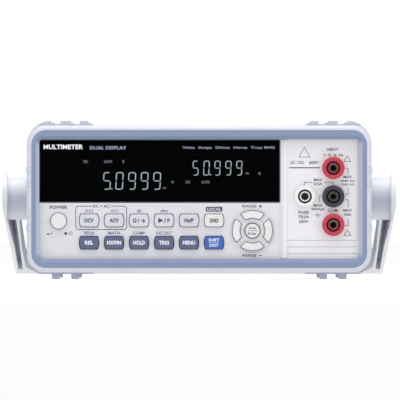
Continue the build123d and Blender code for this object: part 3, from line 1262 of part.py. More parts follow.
with BuildPart() as serial_port:
    with BuildSketch(upright(REAR_PANEL_Y - SERIAL_BODY_DEPTH)):
        with Locations((SERIAL_X, SERIAL_Z)):
            Rectangle(SERIAL_FLANGE_WIDTH, SERIAL_FLANGE_HEIGHT)
            with GridLocations(SERIAL_SCREW_PITCH, 1, 2, 1):
                Circle(JACKSCREW_NECK + FIT_GAP, mode=Mode.SUBTRACT)
    extrude(amount=-(SERIAL_BODY_DEPTH - FIT_GAP))
    with BuildSketch(upright(REAR_PANEL_Y - FIT_GAP)):
        with Locations((SERIAL_X, SERIAL_Z)):
            Trapezoid(SERIAL_SHELL_WIDTH, SERIAL_SHELL_HEIGHT, 80, rotation=180)
    extrude(amount=-SERIAL_SHELL_LENGTH)
    fillet(serial_port.faces().sort_by(Axis.Y)[-1].edges().filter_by(GeomType.LINE), FUSE_END_ROUND)
    with BuildSketch(upright(REAR_PANEL_Y - FIT_GAP + SERIAL_SHELL_LENGTH)):
        with Locations((SERIAL_X, SERIAL_Z)):
            with GridLocations(SERIAL_PIN_PITCH, 1, 5, 1):
                with Locations((0, SERIAL_ROW_OFFSET)):
                    Circle(SERIAL_PIN_RADIUS)
            with GridLocations(SERIAL_PIN_PITCH, 1, 4, 1):
                with Locations((0, -SERIAL_ROW_OFFSET)):
                    Circle(SERIAL_PIN_RADIUS)
    extrude(amount=SERIAL_SHELL_LENGTH, mode=Mode.SUBTRACT)
serial_port.part.label = "serial_port"
export_step(serial_port.part, "parts/serial_port.step")

with BuildPart() as serial_jackscrews:
    with BuildSketch(upright(REAR_FACE_Y)):
        with Locations((SERIAL_X, SERIAL_Z)):
            with GridLocations(SERIAL_SCREW_PITCH, 1, 2, 1):
                RegularPolygon(JACKSCREW_HEAD, 6)
    extrude(amount=-JACKSCREW_LENGTH)
    with BuildSketch(upright(REAR_FACE_Y)):
        with Locations((SERIAL_X, SERIAL_Z)):
            with GridLocations(SERIAL_SCREW_PITCH, 1, 2, 1):
                Circle(JACKSCREW_NECK)
    extrude(amount=SERIAL_BODY_DEPTH + REAR_PANEL_THICK)
    with BuildSketch(upright(REAR_FACE_Y + JACKSCREW_LENGTH)):
        with Locations((SERIAL_X, SERIAL_Z)):
            with GridLocations(SERIAL_SCREW_PITCH, 1, 2, 1):
                Circle(SERIAL_SCREW_BORE)
    extrude(amount=JACKSCREW_LENGTH, mode=Mode.SUBTRACT)
serial_jackscrews.part.label = "serial_jackscrews"
export_step(serial_jackscrews.part, "parts/serial_jackscrews.step")
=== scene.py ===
"""Looks, legends, lights and camera for the bench multimeter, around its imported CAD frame."""
import json
import math

import bmesh
import bpy
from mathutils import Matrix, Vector


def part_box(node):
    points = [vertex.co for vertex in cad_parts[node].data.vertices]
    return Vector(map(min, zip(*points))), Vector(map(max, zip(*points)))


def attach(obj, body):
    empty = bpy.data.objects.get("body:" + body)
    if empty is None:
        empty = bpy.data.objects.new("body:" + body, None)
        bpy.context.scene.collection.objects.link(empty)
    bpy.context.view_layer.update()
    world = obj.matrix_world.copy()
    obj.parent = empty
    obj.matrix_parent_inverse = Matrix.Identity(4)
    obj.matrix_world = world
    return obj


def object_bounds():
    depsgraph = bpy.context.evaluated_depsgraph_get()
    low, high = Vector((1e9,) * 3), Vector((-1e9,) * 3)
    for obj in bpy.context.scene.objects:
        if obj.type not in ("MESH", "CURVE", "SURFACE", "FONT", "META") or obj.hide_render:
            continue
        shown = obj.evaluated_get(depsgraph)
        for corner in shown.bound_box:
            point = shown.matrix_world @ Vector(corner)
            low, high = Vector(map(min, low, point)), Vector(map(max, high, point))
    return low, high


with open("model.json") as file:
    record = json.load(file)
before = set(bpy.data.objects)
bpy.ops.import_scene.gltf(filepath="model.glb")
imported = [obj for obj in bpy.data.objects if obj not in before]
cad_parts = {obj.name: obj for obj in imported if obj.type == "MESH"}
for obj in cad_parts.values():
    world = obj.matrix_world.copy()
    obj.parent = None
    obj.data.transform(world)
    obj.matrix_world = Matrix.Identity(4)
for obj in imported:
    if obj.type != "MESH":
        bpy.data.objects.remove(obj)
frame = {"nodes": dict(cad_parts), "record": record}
cad_low, cad_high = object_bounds()
NODES = frame["nodes"]
MM = 0.001


def middle(node):
    """The middle of a node's front face, as (x, y of its front, z)."""
    low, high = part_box(node)
    return (low.x + high.x) / 2, low.y, (low.z + high.z) / 2


# ---------------------------------------------------------------- colours
def linear(red, green, blue):
    """A screen colour, 0 to 255 a channel, as the linear values that Blender works in."""
    values = []
    for channel in (red, green, blue):
        share = channel / 255
        values.append(share / 12.92 if share <= 0.04045 else ((share + 0.055) / 1.055) ** 2.4)
    return (*values, 1.0)


def shade(colour, scale, lift=0.0):
    """A colour scaled and lifted, with no channel over 1."""
    return tuple(min(1.0, channel * scale + lift) for channel in colour[:3]) + (1.0,)


PALE_GREY = linear(202, 206, 216)
RING_BLUE = linear(127, 141, 170)
RIB_PAINTED_SHADE = linear(178, 190, 208)
BEVEL_PAINTED_HIGHLIGHT = linear(188, 194, 212)
PAD_PAINTED_SHADE = linear(182, 185, 198)
FOOT_PAINTED_SHADE = linear(150, 158, 174)
PANEL_GREY = linear(214, 214, 219)
TERMINAL_GREY = linear(234, 232, 236)
HANDLE_GREY = linear(218, 219, 225)
HUB_SHADE = linear(176, 181, 196)
BRASS = linear(205, 196, 170)
DEEP_BLACK = linear(8, 6, 8)
LEGEND_SLATE = linear(58, 60, 82)
LEGEND_BLUE = linear(92, 108, 160)
WINDOW_BLACK = linear(6, 6, 8)
WINDOW_TINT = (0.7, 0.72, 0.74, 1.0)
WINDOW_SURFACE = 0.12   # share of the window that is not clear
WHITE = (1.0, 1.0, 1.0, 1.0)

# ---------------------------------------------------------------- materials
NOISE_ROUGHNESS = 0.55
NOISE_LOW, NOISE_HIGH = 0.3, 0.7
TARNISH = 0.36   # the most that dark stains cover a metal
# Sizes of the features in the noise, in millimetres
DRIFT_MM = 28.0
SMUDGE_MM = 14.0
SCUFF_MM = 2.5
STAIN_MM = 6.0
STREAK_MM = 0.6
INK_MM = 0.25
# Pointiness where the lighter edges, wear and painted highlight, start and are full, and where a hollow
# starts and is full
EDGE_START, EDGE_FULL = 0.52, 0.62
HOLLOW_START, HOLLOW_FULL = 0.5, 0.42


class Shader:
    """A node material with a Principled surface, and short calls for the nodes that feed it."""

    def __init__(self, name):
        self.material = bpy.data.materials.new(name)
        self.material.use_nodes = True
        self.tree = self.material.node_tree
        self.surface = self.tree.nodes["Principled BSDF"]
        self.place = self.tree.nodes.new("ShaderNodeTexCoord").outputs["Object"]

    def node(self, kind, **settings):
        made = self.tree.nodes.new(kind)
        for key, value in settings.items():
            setattr(made, key, value)
        return made

    def link(self, source, target):
        if hasattr(source, "links"):
            self.tree.links.new(source, target)
        else:
            target.default_value = source

    def math(self, operation, first, second=0.0, clamp=False):
        made = self.node("ShaderNodeMath", operation=operation, use_clamp=clamp)
        self.link(first, made.inputs[0])
        self.link(second, made.inputs[1])
        return made.outputs[0]

    def noise(self, size_mm, detail=3.0, stretch=None):
        """Noise whose main features are about size_mm across, as a value round 0.5."""
        place = self.place
        if stretch:
            mapping = self.node("ShaderNodeMapping")
            mapping.inputs["Scale"].default_value = stretch
            self.link(place, mapping.inputs["Vector"])
            place = mapping.outputs[0]
        made = self.node("ShaderNodeTexNoise")
        self.link(place, made.inputs["Vector"])
        made.inputs["Scale"].default_value = 1 / (size_mm * MM)
        made.inputs["Detail"].default_value = detail
        made.inputs["Roughness"].default_value = NOISE_ROUGHNESS
        return made.outputs["Fac"]

    def remap(self, value, low, high, new_low, new_high):
        made = self.node("ShaderNodeMapRange")
        self.link(value, made.inputs["Value"])
        for key, number in (("From Min", low), ("From Max", high), ("To Min", new_low), ("To Max", new_high)):
            made.inputs[key].default_value = number
        return made.outputs["Result"]

    def spread(self, noise, new_low, new_high):
        """Noise, most of which lies between two usual values, spread over a range."""
        return self.remap(noise, NOISE_LOW, NOISE_HIGH, new_low, new_high)

    def mix(self, factor, first, second):
        """The first colour at 0, the second at 1."""
        made = self.node("ShaderNodeMix", data_type="RGBA")
        self.link(factor, made.inputs["Factor"])
        self.link(first, made.inputs[6])
        self.link(second, made.inputs[7])
        return made.outputs[2]

    def pointiness(self):
        """Over 0.5 on convex edges, under it in hollows."""
        return self.node("ShaderNodeNewGeometry").outputs["Pointiness"]

    def position(self):
        made = self.node("ShaderNodeSeparateXYZ")
        self.link(self.place, made.inputs[0])
        return made.outputs

    def bump(self, height, depth_mm):
        made = self.node("ShaderNodeBump")
        made.inputs["Strength"].default_value = 1.0
        made.inputs["Distance"].default_value = depth_mm * MM
        self.link(height, made.inputs["Height"])
        return made.outputs["Normal"]

    def base_colour(self):
        """Whatever feeds the base colour so far."""
        return self.surface.inputs["Base Color"].links[0].from_socket

    def off(self, value, centre):
        """How far a value is from the centre, on either side."""
        return self.math("ABSOLUTE", self.math("SUBTRACT", value, centre))


def plastic(name, colour, rough=0.45, grain_mm=0.35, grain_depth=0.02, tone=0.035, wear_and_highlight=0.25, coat=0.0,
            specular=0.45):
    """Moulded plastic or paint: fine grain, uneven gloss, slight tone drift and lighter edges, partly wear
    and partly painted highlight.
    """
    shader = Shader(name)
    drift = shader.noise(DRIFT_MM, detail=2.0)
    toned = shader.mix(shader.spread(drift, 0.0, 1.0), shade(colour, 1 - tone), shade(colour, 1 + tone))
    # Wear and painted highlight: convex edges are lifted towards a paler colour, in patches
    edge = shader.remap(shader.pointiness(), EDGE_START, EDGE_FULL, 0.0, wear_and_highlight)
    scuffs = shader.remap(shader.noise(SCUFF_MM, detail=4.0), 0.45, 0.6, 0.0, 1.0)
    worn_and_lit = shader.math("MULTIPLY", edge, scuffs, clamp=True)
    pale = shade(colour, 0.6, 0.4)
    shader.link(shader.mix(worn_and_lit, toned, pale), shader.surface.inputs["Base Color"])
    grain = shader.noise(grain_mm, detail=2.5)
    smudge = shader.noise(SMUDGE_MM)
    gloss = shader.math("ADD", shader.spread(smudge, rough - 0.05, rough + 0.07),
                        shader.spread(grain, -0.03, 0.03))
    shader.link(gloss, shader.surface.inputs["Roughness"])
    shader.link(shader.bump(grain, grain_depth), shader.surface.inputs["Normal"])
    shader.surface.inputs["Specular IOR Level"].default_value = specular
    shader.surface.inputs["Coat Weight"].default_value = coat
    shader.surface.inputs["Coat Roughness"].default_value = 0.15
    return shader


def metal(name, colour, rough=0.3, stretch=(1, 1, 1)):
    """Plated or brushed metal: drawn streaks, uneven gloss and darker tarnish in the hollows."""
    shader = Shader(name)
    streaks = shader.noise(STREAK_MM, detail=4.0, stretch=stretch)
    stain = shader.remap(shader.noise(STAIN_MM, detail=4.0), 0.35, 0.7, 0.0, TARNISH)
    hollow = shader.remap(shader.pointiness(), HOLLOW_START, HOLLOW_FULL, 0.0, 0.5)
    dark = shade(colour, 0.55)
    shaded = shader.mix(shader.math("ADD", stain, hollow, clamp=True), colour, dark)
    shader.link(shaded, shader.surface.inputs["Base Color"])
    gloss = shader.spread(streaks, rough - 0.08, rough + 0.12)
    shader.link(gloss, shader.surface.inputs["Roughness"])
    shader.link(shader.bump(streaks, 0.01), shader.surface.inputs["Normal"])
    shader.surface.inputs["Metallic"].default_value = 1.0
    return shader


def ink(name, colour, glow=0.0):
    """Screen-printed ink or a lit phosphor: slightly uneven density, and an optional glow, real on the lit
    phosphor and painted on the printed window legends.
    """
    shader = Shader(name)
    density = shader.spread(shader.noise(INK_MM, detail=2.0), 0.0, 0.16)
    tinted = shader.mix(density, colour, shade(colour, 0.8, 0.04))
    shader.link(tinted, shader.surface.inputs["Base Color"])
    shader.link(shader.spread(shader.noise(0.5), 0.4, 0.6), shader.surface.inputs["Roughness"])
    if glow:
        shader.link(tinted, shader.surface.inputs["Emission Color"])
        shader.surface.inputs["Emission Strength"].default_value = glow
    return shader.material


# The bumper's shape, as the looks need it: its rim, its opening and the ribs on its sides
LIP = 3.0 * MM
BUMPER_CORNER = 13.0 * MM
BUMPER_HALF_WIDTH = 115.5 * MM
FOOT_HEIGHT = 4.5 * MM
PAD_HEIGHT = 3.1 * MM
RING_BLUR = 0.15 * MM
RIB_OFFSETS = (10.0 * MM, 19.3 * MM)
RIB_HALF = 2.1 * MM
BEVEL_OUTER = 109.5 * MM
BEVEL_INNER = 107.0 * MM
BEVEL_FULL = 36.0 * MM
BEVEL_GONE = 40.0 * MM
RIM_BEHIND_PANEL = 1.5 * MM


def bumper_material():
    """Satin elastomer: a blue-grey ring round the opening and a paler rounded rim, with painted shade on the
    pads, feet and finger ribs and a painted highlight on the upright bevels of the opening.
    """
    shader = plastic("bumper_elastomer", PALE_GREY, rough=0.5, grain_mm=0.45, grain_depth=0.03, tone=0.03,
                     wear_and_highlight=0.3)
    low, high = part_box("front_bumper")
    half_x = BUMPER_HALF_WIDTH - LIP
    lower, upper = low.z + FOOT_HEIGHT, high.z - PAD_HEIGHT
    half_z = (upper - lower) / 2
    corner = BUMPER_CORNER - LIP
    x, y, z = shader.position()
    off_side = shader.math("ABSOLUTE", x)
    off_middle = shader.off(z, (lower + upper) / 2)
    # Distance from a rounded rectangle one lip inside the rim: below 0 is the ring
    beyond_x = shader.math("SUBTRACT", off_side, half_x - corner)
    beyond_z = shader.math("SUBTRACT", off_middle, half_z - LIP - corner)
    squares = [shader.math("POWER", shader.math("MAXIMUM", beyond, 0), 2) for beyond in (beyond_x, beyond_z)]
    reach = shader.math("SQRT", shader.math("ADD", *squares))
    inner = shader.math("MINIMUM", shader.math("MAXIMUM", beyond_x, beyond_z), 0)
    outside = shader.math("SUBTRACT", shader.math("ADD", reach, inner), corner)
    inside = shader.remap(outside, -RING_BLUR, RING_BLUR, 1.0, 0.0)
    end_y = rim_start_y()
    near_end = shader.remap(shader.math("ABSOLUTE", y), end_y - 0.3 * MM, end_y, 0.0, 1.0)
    ring = shader.math("MULTIPLY", inside, near_end, clamp=True)
    # Painted shade: the pads and feet are painted darker than the rim, and the finger ribs bluer with darker
    # edges
    ends = shader.remap(off_middle, half_z, half_z + 0.3 * MM, 0.0, 1.0)
    base = shader.mix(shader.math("MULTIPLY", ends, 0.85), shader.base_colour(), PAD_PAINTED_SHADE)
    # Painted shade on the feet, below the rim
    base = shader.mix(shader.remap(z, lower, lower - 0.3 * MM, 0.0, 0.8), base, FOOT_PAINTED_SHADE)
    rib = shader.math("MINIMUM", *(shader.off(off_middle, offset) for offset in RIB_OFFSETS))
    out_side = shader.remap(off_side, half_x - 0.3 * MM, half_x + 0.1 * MM, 0.0, 0.45)
    on_rib = shader.remap(rib, RIB_HALF - 0.3 * MM, RIB_HALF, 1.0, 0.0)
    # Painted shade on the finger ribs, to show their relief
    base = shader.mix(shader.math("MULTIPLY", on_rib, out_side, clamp=True), base, RIB_PAINTED_SHADE)
    # Painted shadow along the edges of each rib
    rib_edge_shadow = shader.remap(shader.off(rib, RIB_HALF), 0.1 * MM, 0.4 * MM, 0.6, 0.0)
    base = shader.mix(shader.math("MULTIPLY", rib_edge_shadow, out_side, clamp=True), base, RING_BLUE)
    coloured = shader.mix(ring, base, RING_BLUE)
    # Painted highlight: the upright bevels of the opening are painted paler than the ring, as if lit from the
    # sides
    across = shader.math("MULTIPLY", shader.remap(off_side, BEVEL_INNER, BEVEL_INNER + 0.1 * MM, 0.0, 1.0),
                         shader.remap(off_middle, BEVEL_FULL, BEVEL_GONE, 1.0, 0.0))
    bevel = shader.math("MULTIPLY", shader.remap(off_side, BEVEL_OUTER, BEVEL_OUTER - 0.2 * MM, 0.0, 0.75),
                        across, clamp=True)
    shader.link(shader.mix(bevel, coloured, BEVEL_PAINTED_HIGHLIGHT), shader.surface.inputs["Base Color"])
    return shader.material


def rim_start_y():
    """How far from the middle, front or back, only the rims of the bumpers are left."""
    return -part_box("front_panel")[0].y - RIM_BEHIND_PANEL


def panel_material():
    """Moulded panel, a shade lighter on the raised sheet that carries the sockets."""
    shader = plastic("panel_plastic", PANEL_GREY, rough=0.5, grain_mm=0.3, grain_depth=0.02)
    x, _, _ = shader.position()
    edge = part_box("display_window")[1].x + 2.0 * MM
    on_sheet = shader.remap(x, edge, edge + 0.5 * MM, 0.0, 0.8)
    lighter = shader.mix(on_sheet, shader.base_colour(), TERMINAL_GREY)
    shader.link(lighter, shader.surface.inputs["Base Color"])
    return shader.material


HUB_INNER_X = 128.2 * MM
HUB_RADIUS = 14.5 * MM


def handle_material():
    """Textured handle plastic, with painted shade round the waist of the hubs."""
    shader = plastic("handle_plastic", HANDLE_GREY, rough=0.45, grain_mm=0.4)
    x, y, z = shader.position()
    low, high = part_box("handle_bosses")
    off_middle = shader.off(z, (low.z + high.z) / 2 - 1.5 * MM)
    off_axis = shader.off(y, (low.y + high.y) / 2)
    # Painted shade: a darker band round the waist of each hub, carried by the handle as it turns
    waist = shader.remap(off_middle, 2.0 * MM, 13.0 * MM, 0.75, 0.0)
    within_plates = shader.remap(shader.math("ABSOLUTE", x), HUB_INNER_X, HUB_INNER_X + 0.2 * MM, 1.0, 0.0)
    on_hub = shader.remap(off_axis, HUB_RADIUS, HUB_RADIUS + 0.5 * MM, 1.0, 0.0)
    painted_hub_shade = shader.math("MULTIPLY", shader.math("MULTIPLY", waist, within_plates), on_hub, clamp=True)
    shader.link(shader.mix(painted_hub_shade, shader.base_colour(), HUB_SHADE), shader.surface.inputs["Base Color"])
    return shader.material


SLEEVE_RADIUS = 3.4 * MM
MOUTH_RADIUS = 4.8 * MM


def socket_material(name, colour, rough, jacks, collar=0.5):
    """Glossy shroud plastic, darker on the inner sleeve, with painted shade down inside the mouth."""
    shader = plastic(name, colour, rough=rough, coat=0.3, grain_depth=0.008)
    x, y, z = shader.position()
    nearest = 1.0
    for jack in jacks:
        jack_x, _, jack_z = middle(jack)
        across = shader.math("SUBTRACT", x, jack_x)
        up = shader.math("SUBTRACT", z, jack_z)
        radius = shader.math("SQRT", shader.math("ADD", shader.math("MULTIPLY", across, across),
                                                 shader.math("MULTIPLY", up, up)))
        nearest = shader.math("MINIMUM", radius, nearest)
    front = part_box(jacks[0])[0].y
    sleeve = shader.remap(nearest, SLEEVE_RADIUS, SLEEVE_RADIUS + 0.3 * MM, collar, 0.0)
    # Painted shade: down inside the mouth the shroud is blended towards black
    inside = shader.math("MULTIPLY", shader.remap(nearest, MOUTH_RADIUS + 0.1 * MM, MOUTH_RADIUS, 0.0, 1.0),
                         shader.remap(y, front + 0.3 * MM, front + 1.5 * MM, 0.0, 1.0), clamp=True)
    shaded = shader.mix(shader.math("MAXIMUM", sleeve, inside), shader.base_colour(), DEEP_BLACK)
    shader.link(shaded, shader.surface.inputs["Base Color"])
    return shader.material


def contact_material():
    """Plated brass, with painted shade that darkens it down the bore of the contacts."""
    shader = metal("plated_brass", BRASS, rough=0.28)
    _, y, _ = shader.position()
    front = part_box("jack_sockets")[0].y
    # Painted shade: the brass is blended towards black further down the bore
    deep = shader.remap(y, front - 0.1 * MM, front + 1.2 * MM, 0.7, 0.97)
    shader.link(shader.mix(deep, shader.base_colour(), DEEP_BLACK), shader.surface.inputs["Base Color"])
    return shader.material


def tinted_window():
    """Polished dark acrylic: it passes most light straight through and mirrors a little."""
    shader = Shader("window_acrylic")
    shader.surface.inputs["Base Color"].default_value = WINDOW_BLACK
    shader.link(shader.spread(shader.noise(9.0), 0.03, 0.1), shader.surface.inputs["Roughness"])
    shader.link(shader.bump(shader.noise(40.0), 0.01), shader.surface.inputs["Normal"])
    shader.surface.inputs["Specular IOR Level"].default_value = 0.12
    clear = shader.node("ShaderNodeBsdfTransparent")
    clear.inputs["Color"].default_value = WINDOW_TINT
    blend = shader.node("ShaderNodeMixShader")
    blend.inputs["Fac"].default_value = WINDOW_SURFACE
    shader.link(clear.outputs[0], blend.inputs[1])
    shader.link(shader.surface.outputs[0], blend.inputs[2])
    shader.link(blend.outputs[0], shader.tree.nodes["Material Output"].inputs["Surface"])
    return shader.material


PLASTICS = {
    "case_paint": ((176, 180, 188), dict(rough=0.42, grain_mm=0.5, grain_depth=0.05, wear_and_highlight=0.5)),
    "circuit_board": ((34, 92, 56), dict(rough=0.35, coat=0.4)),
    "silicone_rubber": ((58, 60, 66), dict(rough=0.7)),
    "key_light_grey": ((206, 207, 216), dict(rough=0.4, grain_mm=0.25)),
    "key_slate": ((88, 94, 124), dict(rough=0.4, grain_mm=0.25, wear_and_highlight=0.5)),
    "key_blue": ((58, 98, 178), dict(rough=0.4, grain_mm=0.25, wear_and_highlight=0.5)),
    "key_white": ((221, 221, 221), dict(rough=0.4, grain_mm=0.25)),
    "black_plastic": ((30, 30, 33), dict(rough=0.45)),
    "boss_plastic": ((150, 155, 168), dict(rough=0.5)),
    "winding_tape": ((206, 168, 60), dict(rough=0.35, grain_mm=0.8)),
    "capacitor_sleeve": ((32, 36, 46), dict(rough=0.3, coat=0.4)),
    "ribbon_grey": ((165, 167, 172), dict(rough=0.55)),
    "display_glass": ((3, 4, 5), dict(rough=0.12, tone=0.2, wear_and_highlight=0.0, specular=0.03)),
}
METALS = {
    "zinc_steel": ((188, 190, 192), dict(rough=0.38, stretch=(1, 14, 14))),
    "bright_steel": ((196, 198, 201), dict(rough=0.3)),
    "core_steel": ((96, 92, 88), dict(rough=0.5, stretch=(1, 60, 1))),
    "aluminium": ((182, 184, 187), dict(rough=0.35, stretch=(12, 12, 1))),
    "fuse_glass": ((200, 200, 196), dict(rough=0.2)),
}
looks = {
    "bumper_elastomer": bumper_material(),
    "panel_plastic": panel_material(),
    "handle_plastic": handle_material(),
    "socket_red": socket_material("socket_red", linear(188, 44, 70), 0.28, ("volt_jack", "amp_jack")),
    "socket_black": socket_material("socket_black", linear(42, 40, 48), 0.32, ("common_jack",)),
    "socket_white": socket_material("socket_white", linear(228, 228, 228), 0.3, ("fuse_cap",), 0.1),
    "plated_brass": contact_material(),
    "window_acrylic": tinted_window(),
}
for slot, (colour, finish) in PLASTICS.items():
    looks[slot] = plastic(slot, linear(*colour), **finish).material
for slot, (colour, finish) in METALS.items():
    looks[slot] = metal(slot, linear(*colour), **finish).material

for part in frame["record"]["subparts"]:
    node = NODES[part["node"]]
    node.data.materials.clear()
    node.data.materials.append(looks[part["material_slot"]])


# ---------------------------------------------------------------- flat graphics
INK_THICKNESS = 0.03 * MM
CAP_HEIGHT = 0.72   # height of a capital at font size 1
WELD_DISTANCE = 1e-7
MITRE_LIMIT = 0.3


class Print:
    """Thin closed shapes on planes that face the front, gathered into one piece."""

    def __init__(self, name, body, material, y, thickness=INK_THICKNESS):
        self.name, self.body, self.material = name, body, material
        self.y, self.thickness = y, thickness
        self.mesh = bmesh.new()

    def prism(self, outline):
        """A closed prism from (x, z) points in metres, its back on the printed face."""
        front = [self.mesh.verts.new((x, self.y - self.thickness, z)) for x, z in outline]
        back = [self.mesh.verts.new((x, self.y, z)) for x, z in outline]
        self.mesh.faces.new(front)
        self.mesh.faces.new(back[::-1])
        count = len(outline)
        for index in range(count):
            after = (index + 1) % count
            self.mesh.faces.new((front[after], front[index], back[index], back[after]))

    def stroke(self, start, end, width):
        """A straight bar with square ends."""
        a, b = Vector(start), Vector(end)
        along = (b - a).normalized()
        side = Vector((-along.y, along.x)) * width / 2
        self.prism([a + side, a - side, b - side, b + side])

    def path(self, points, width, closed=False):
        """A mitred line through the points, as one closed prism strip."""
        count = len(points)
        points = [Vector(point) for point in points]
        left, right = [], []
        for index, point in enumerate(points):
            before = points[index - 1] if index or closed else None
            after = points[(index + 1) % count] if index < count - 1 or closed else None
            steps = []
            if before is not None:
                steps.append((point - before).normalized())
            if after is not None:
                steps.append((after - point).normalized())
            mean = sum(steps, Vector((0, 0))).normalized()
            normal = Vector((-mean.y, mean.x))
            square = Vector((-steps[0].y, steps[0].x))
            reach = width / 2 / max(MITRE_LIMIT, normal.dot(square))
            left.append(point + normal * reach)
            right.append(point - normal * reach)
        last = count if closed else count - 1
        rows = []
        for a, b in zip(left, right):
            rows.append([self.mesh.verts.new((point.x, y, point.y))
                         for point in (a, b) for y in (self.y - self.thickness, self.y)])
        for index in range(last):
            one, two = rows[index], rows[(index + 1) % count]
            self.mesh.faces.new((one[0], one[2], two[2], two[0]))
            self.mesh.faces.new((one[1], two[1], two[3], one[3]))
            self.mesh.faces.new((one[0], two[0], two[1], one[1]))
            self.mesh.faces.new((one[2], one[3], two[3], two[2]))
        if not closed:
            self.mesh.faces.new((rows[0][0], rows[0][1], rows[0][3], rows[0][2]))
            self.mesh.faces.new((rows[-1][0], rows[-1][2], rows[-1][3], rows[-1][1]))

    def text(self, words, x, z, height, width, bold=0.0):
        """Words centred on (x, z), with capitals of the given height, squeezed to the width."""
        curve = bpy.data.curves.new("words", "FONT")
        curve.body = words
        curve.align_x = "CENTER"
        curve.align_y = "CENTER"
        curve.size = 1.0
        curve.offset = bold
        curve.resolution_u = 3
        curve.extrude = 0.5
        holder = bpy.data.objects.new("words", curve)
        bpy.context.scene.collection.objects.link(holder)
        shape = bpy.data.meshes.new_from_object(holder.evaluated_get(bpy.context.evaluated_depsgraph_get()))
        spots = [vertex.co.copy() for vertex in shape.vertices]
        low_x, high_x = min(s.x for s in spots), max(s.x for s in spots)
        low_y, high_y = min(s.y for s in spots), max(s.y for s in spots)
        scale = height / CAP_HEIGHT
        squeeze = width / ((high_x - low_x) * scale)
        middle_x = (low_x + high_x) / 2
        middle_y = (low_y + high_y) / 2
        for vertex in shape.vertices:
            deep = self.y - self.thickness * (0.5 + vertex.co.z)
            vertex.co = ((vertex.co.x - middle_x) * scale * squeeze + x, deep,
                         (vertex.co.y - middle_y) * scale + z)
        self.mesh.from_mesh(shape)
        bpy.data.objects.remove(holder)
        bpy.data.curves.remove(curve)
        bpy.data.meshes.remove(shape)

    def done(self):
        """Joins the shapes into one object that rides on its body."""
        bmesh.ops.remove_doubles(self.mesh, verts=self.mesh.verts, dist=WELD_DISTANCE)
        bmesh.ops.recalc_face_normals(self.mesh, faces=self.mesh.faces)
        data = bpy.data.meshes.new(self.name)
        self.mesh.to_mesh(data)
        self.mesh.free()
        data.materials.append(self.material)
        piece = bpy.data.objects.new(self.name, data)
        bpy.context.scene.collection.objects.link(piece)
        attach(piece, self.body)


# ---------------------------------------------------------------- key legends
panel_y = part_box("display_window")[0].y   # the window is flush with the panel
KEY_LEGENDS = {
    "dc_volts": ("DCV", 6.2), "ac_volts": ("ACV", 6.2), "ohms": ("Ω / →", 8.2), "diode": ("► / F", 7.6),
    "frequency": ("Hz/P", 6.2), "second": ("2ND", 6.0), "relative": ("REL", 5.8), "min_max": ("MX/MN", 9.4),
    "hold": ("HOLD", 8.0), "trigger": ("TRIG", 6.8), "menu": ("MENU", 8.4),
}
pale_ink = ink("pale_ink", linear(226, 228, 238))
slate_ink = ink("slate_ink", LEGEND_SLATE)
blue_ink = ink("blue_ink", LEGEND_BLUE)
PALE_KEYS = ("relative", "min_max", "hold", "trigger", "menu")
KEY_TEXT = 2.5 * MM
PANEL_TEXT = 1.9 * MM


def key_legends():
    """The function name on each key cap, which moves with its key."""
    for key, (words, width) in KEY_LEGENDS.items():
        x, y, z = middle("key_" + key)
        colour = pale_ink if key in PALE_KEYS else slate_ink
        legend = Print("legend_" + key, "key_" + key, colour, y)
        legend.text(words, x, z, KEY_TEXT, width * MM, bold=0.045)
        legend.done()
    x, y, z = middle("key_shift")
    legend = Print("legend_shift", "key_shift", pale_ink, y)
    legend.text("SHIFT", x, z + 1.75 * MM, 2.0 * MM, 7.3 * MM, bold=0.03)
    legend.text("EXIT", x, z - 1.75 * MM, 2.0 * MM, 6.0 * MM, bold=0.03)
    legend.stroke((x - 3.4 * MM, z), (x + 3.4 * MM, z), 0.22 * MM)
    legend.done()
    x, y, z = middle("key_auto_range")
    legend = Print("legend_auto_range", "key_auto_range", slate_ink, y)
    legend.text("Auto", x, z + 1.9 * MM, 1.6 * MM, 5.2 * MM, bold=0.02)
    legend.text("Enter", x, z - 1.9 * MM, 1.6 * MM, 6.2 * MM, bold=0.02)
    legend.stroke((x - 3.4 * MM, z), (x + 3.4 * MM, z), 0.3 * MM)
    legend.done()


def arc_points(x, z, radius, start, end, steps):
    """Points on a circle about (x, z), from one angle to another in degrees."""
    angles = [math.radians(start + (end - start) * step / steps) for step in range(steps + 1)]
    return [(x + radius * math.cos(angle), z + radius * math.sin(angle)) for angle in angles]


def rounded_box(left, right, bottom, top, radius, steps=5):
    """The corners of a rounded rectangle as points, anticlockwise from the lower right."""
    corners = (
        (right - radius, bottom + radius, -90), (right - radius, top - radius, 0),
        (left + radius, top - radius, 90), (left + radius, bottom + radius, 180),
    )
    return [point for x, z, start in corners for point in arc_points(x, z, radius, start, start + 90, steps)]


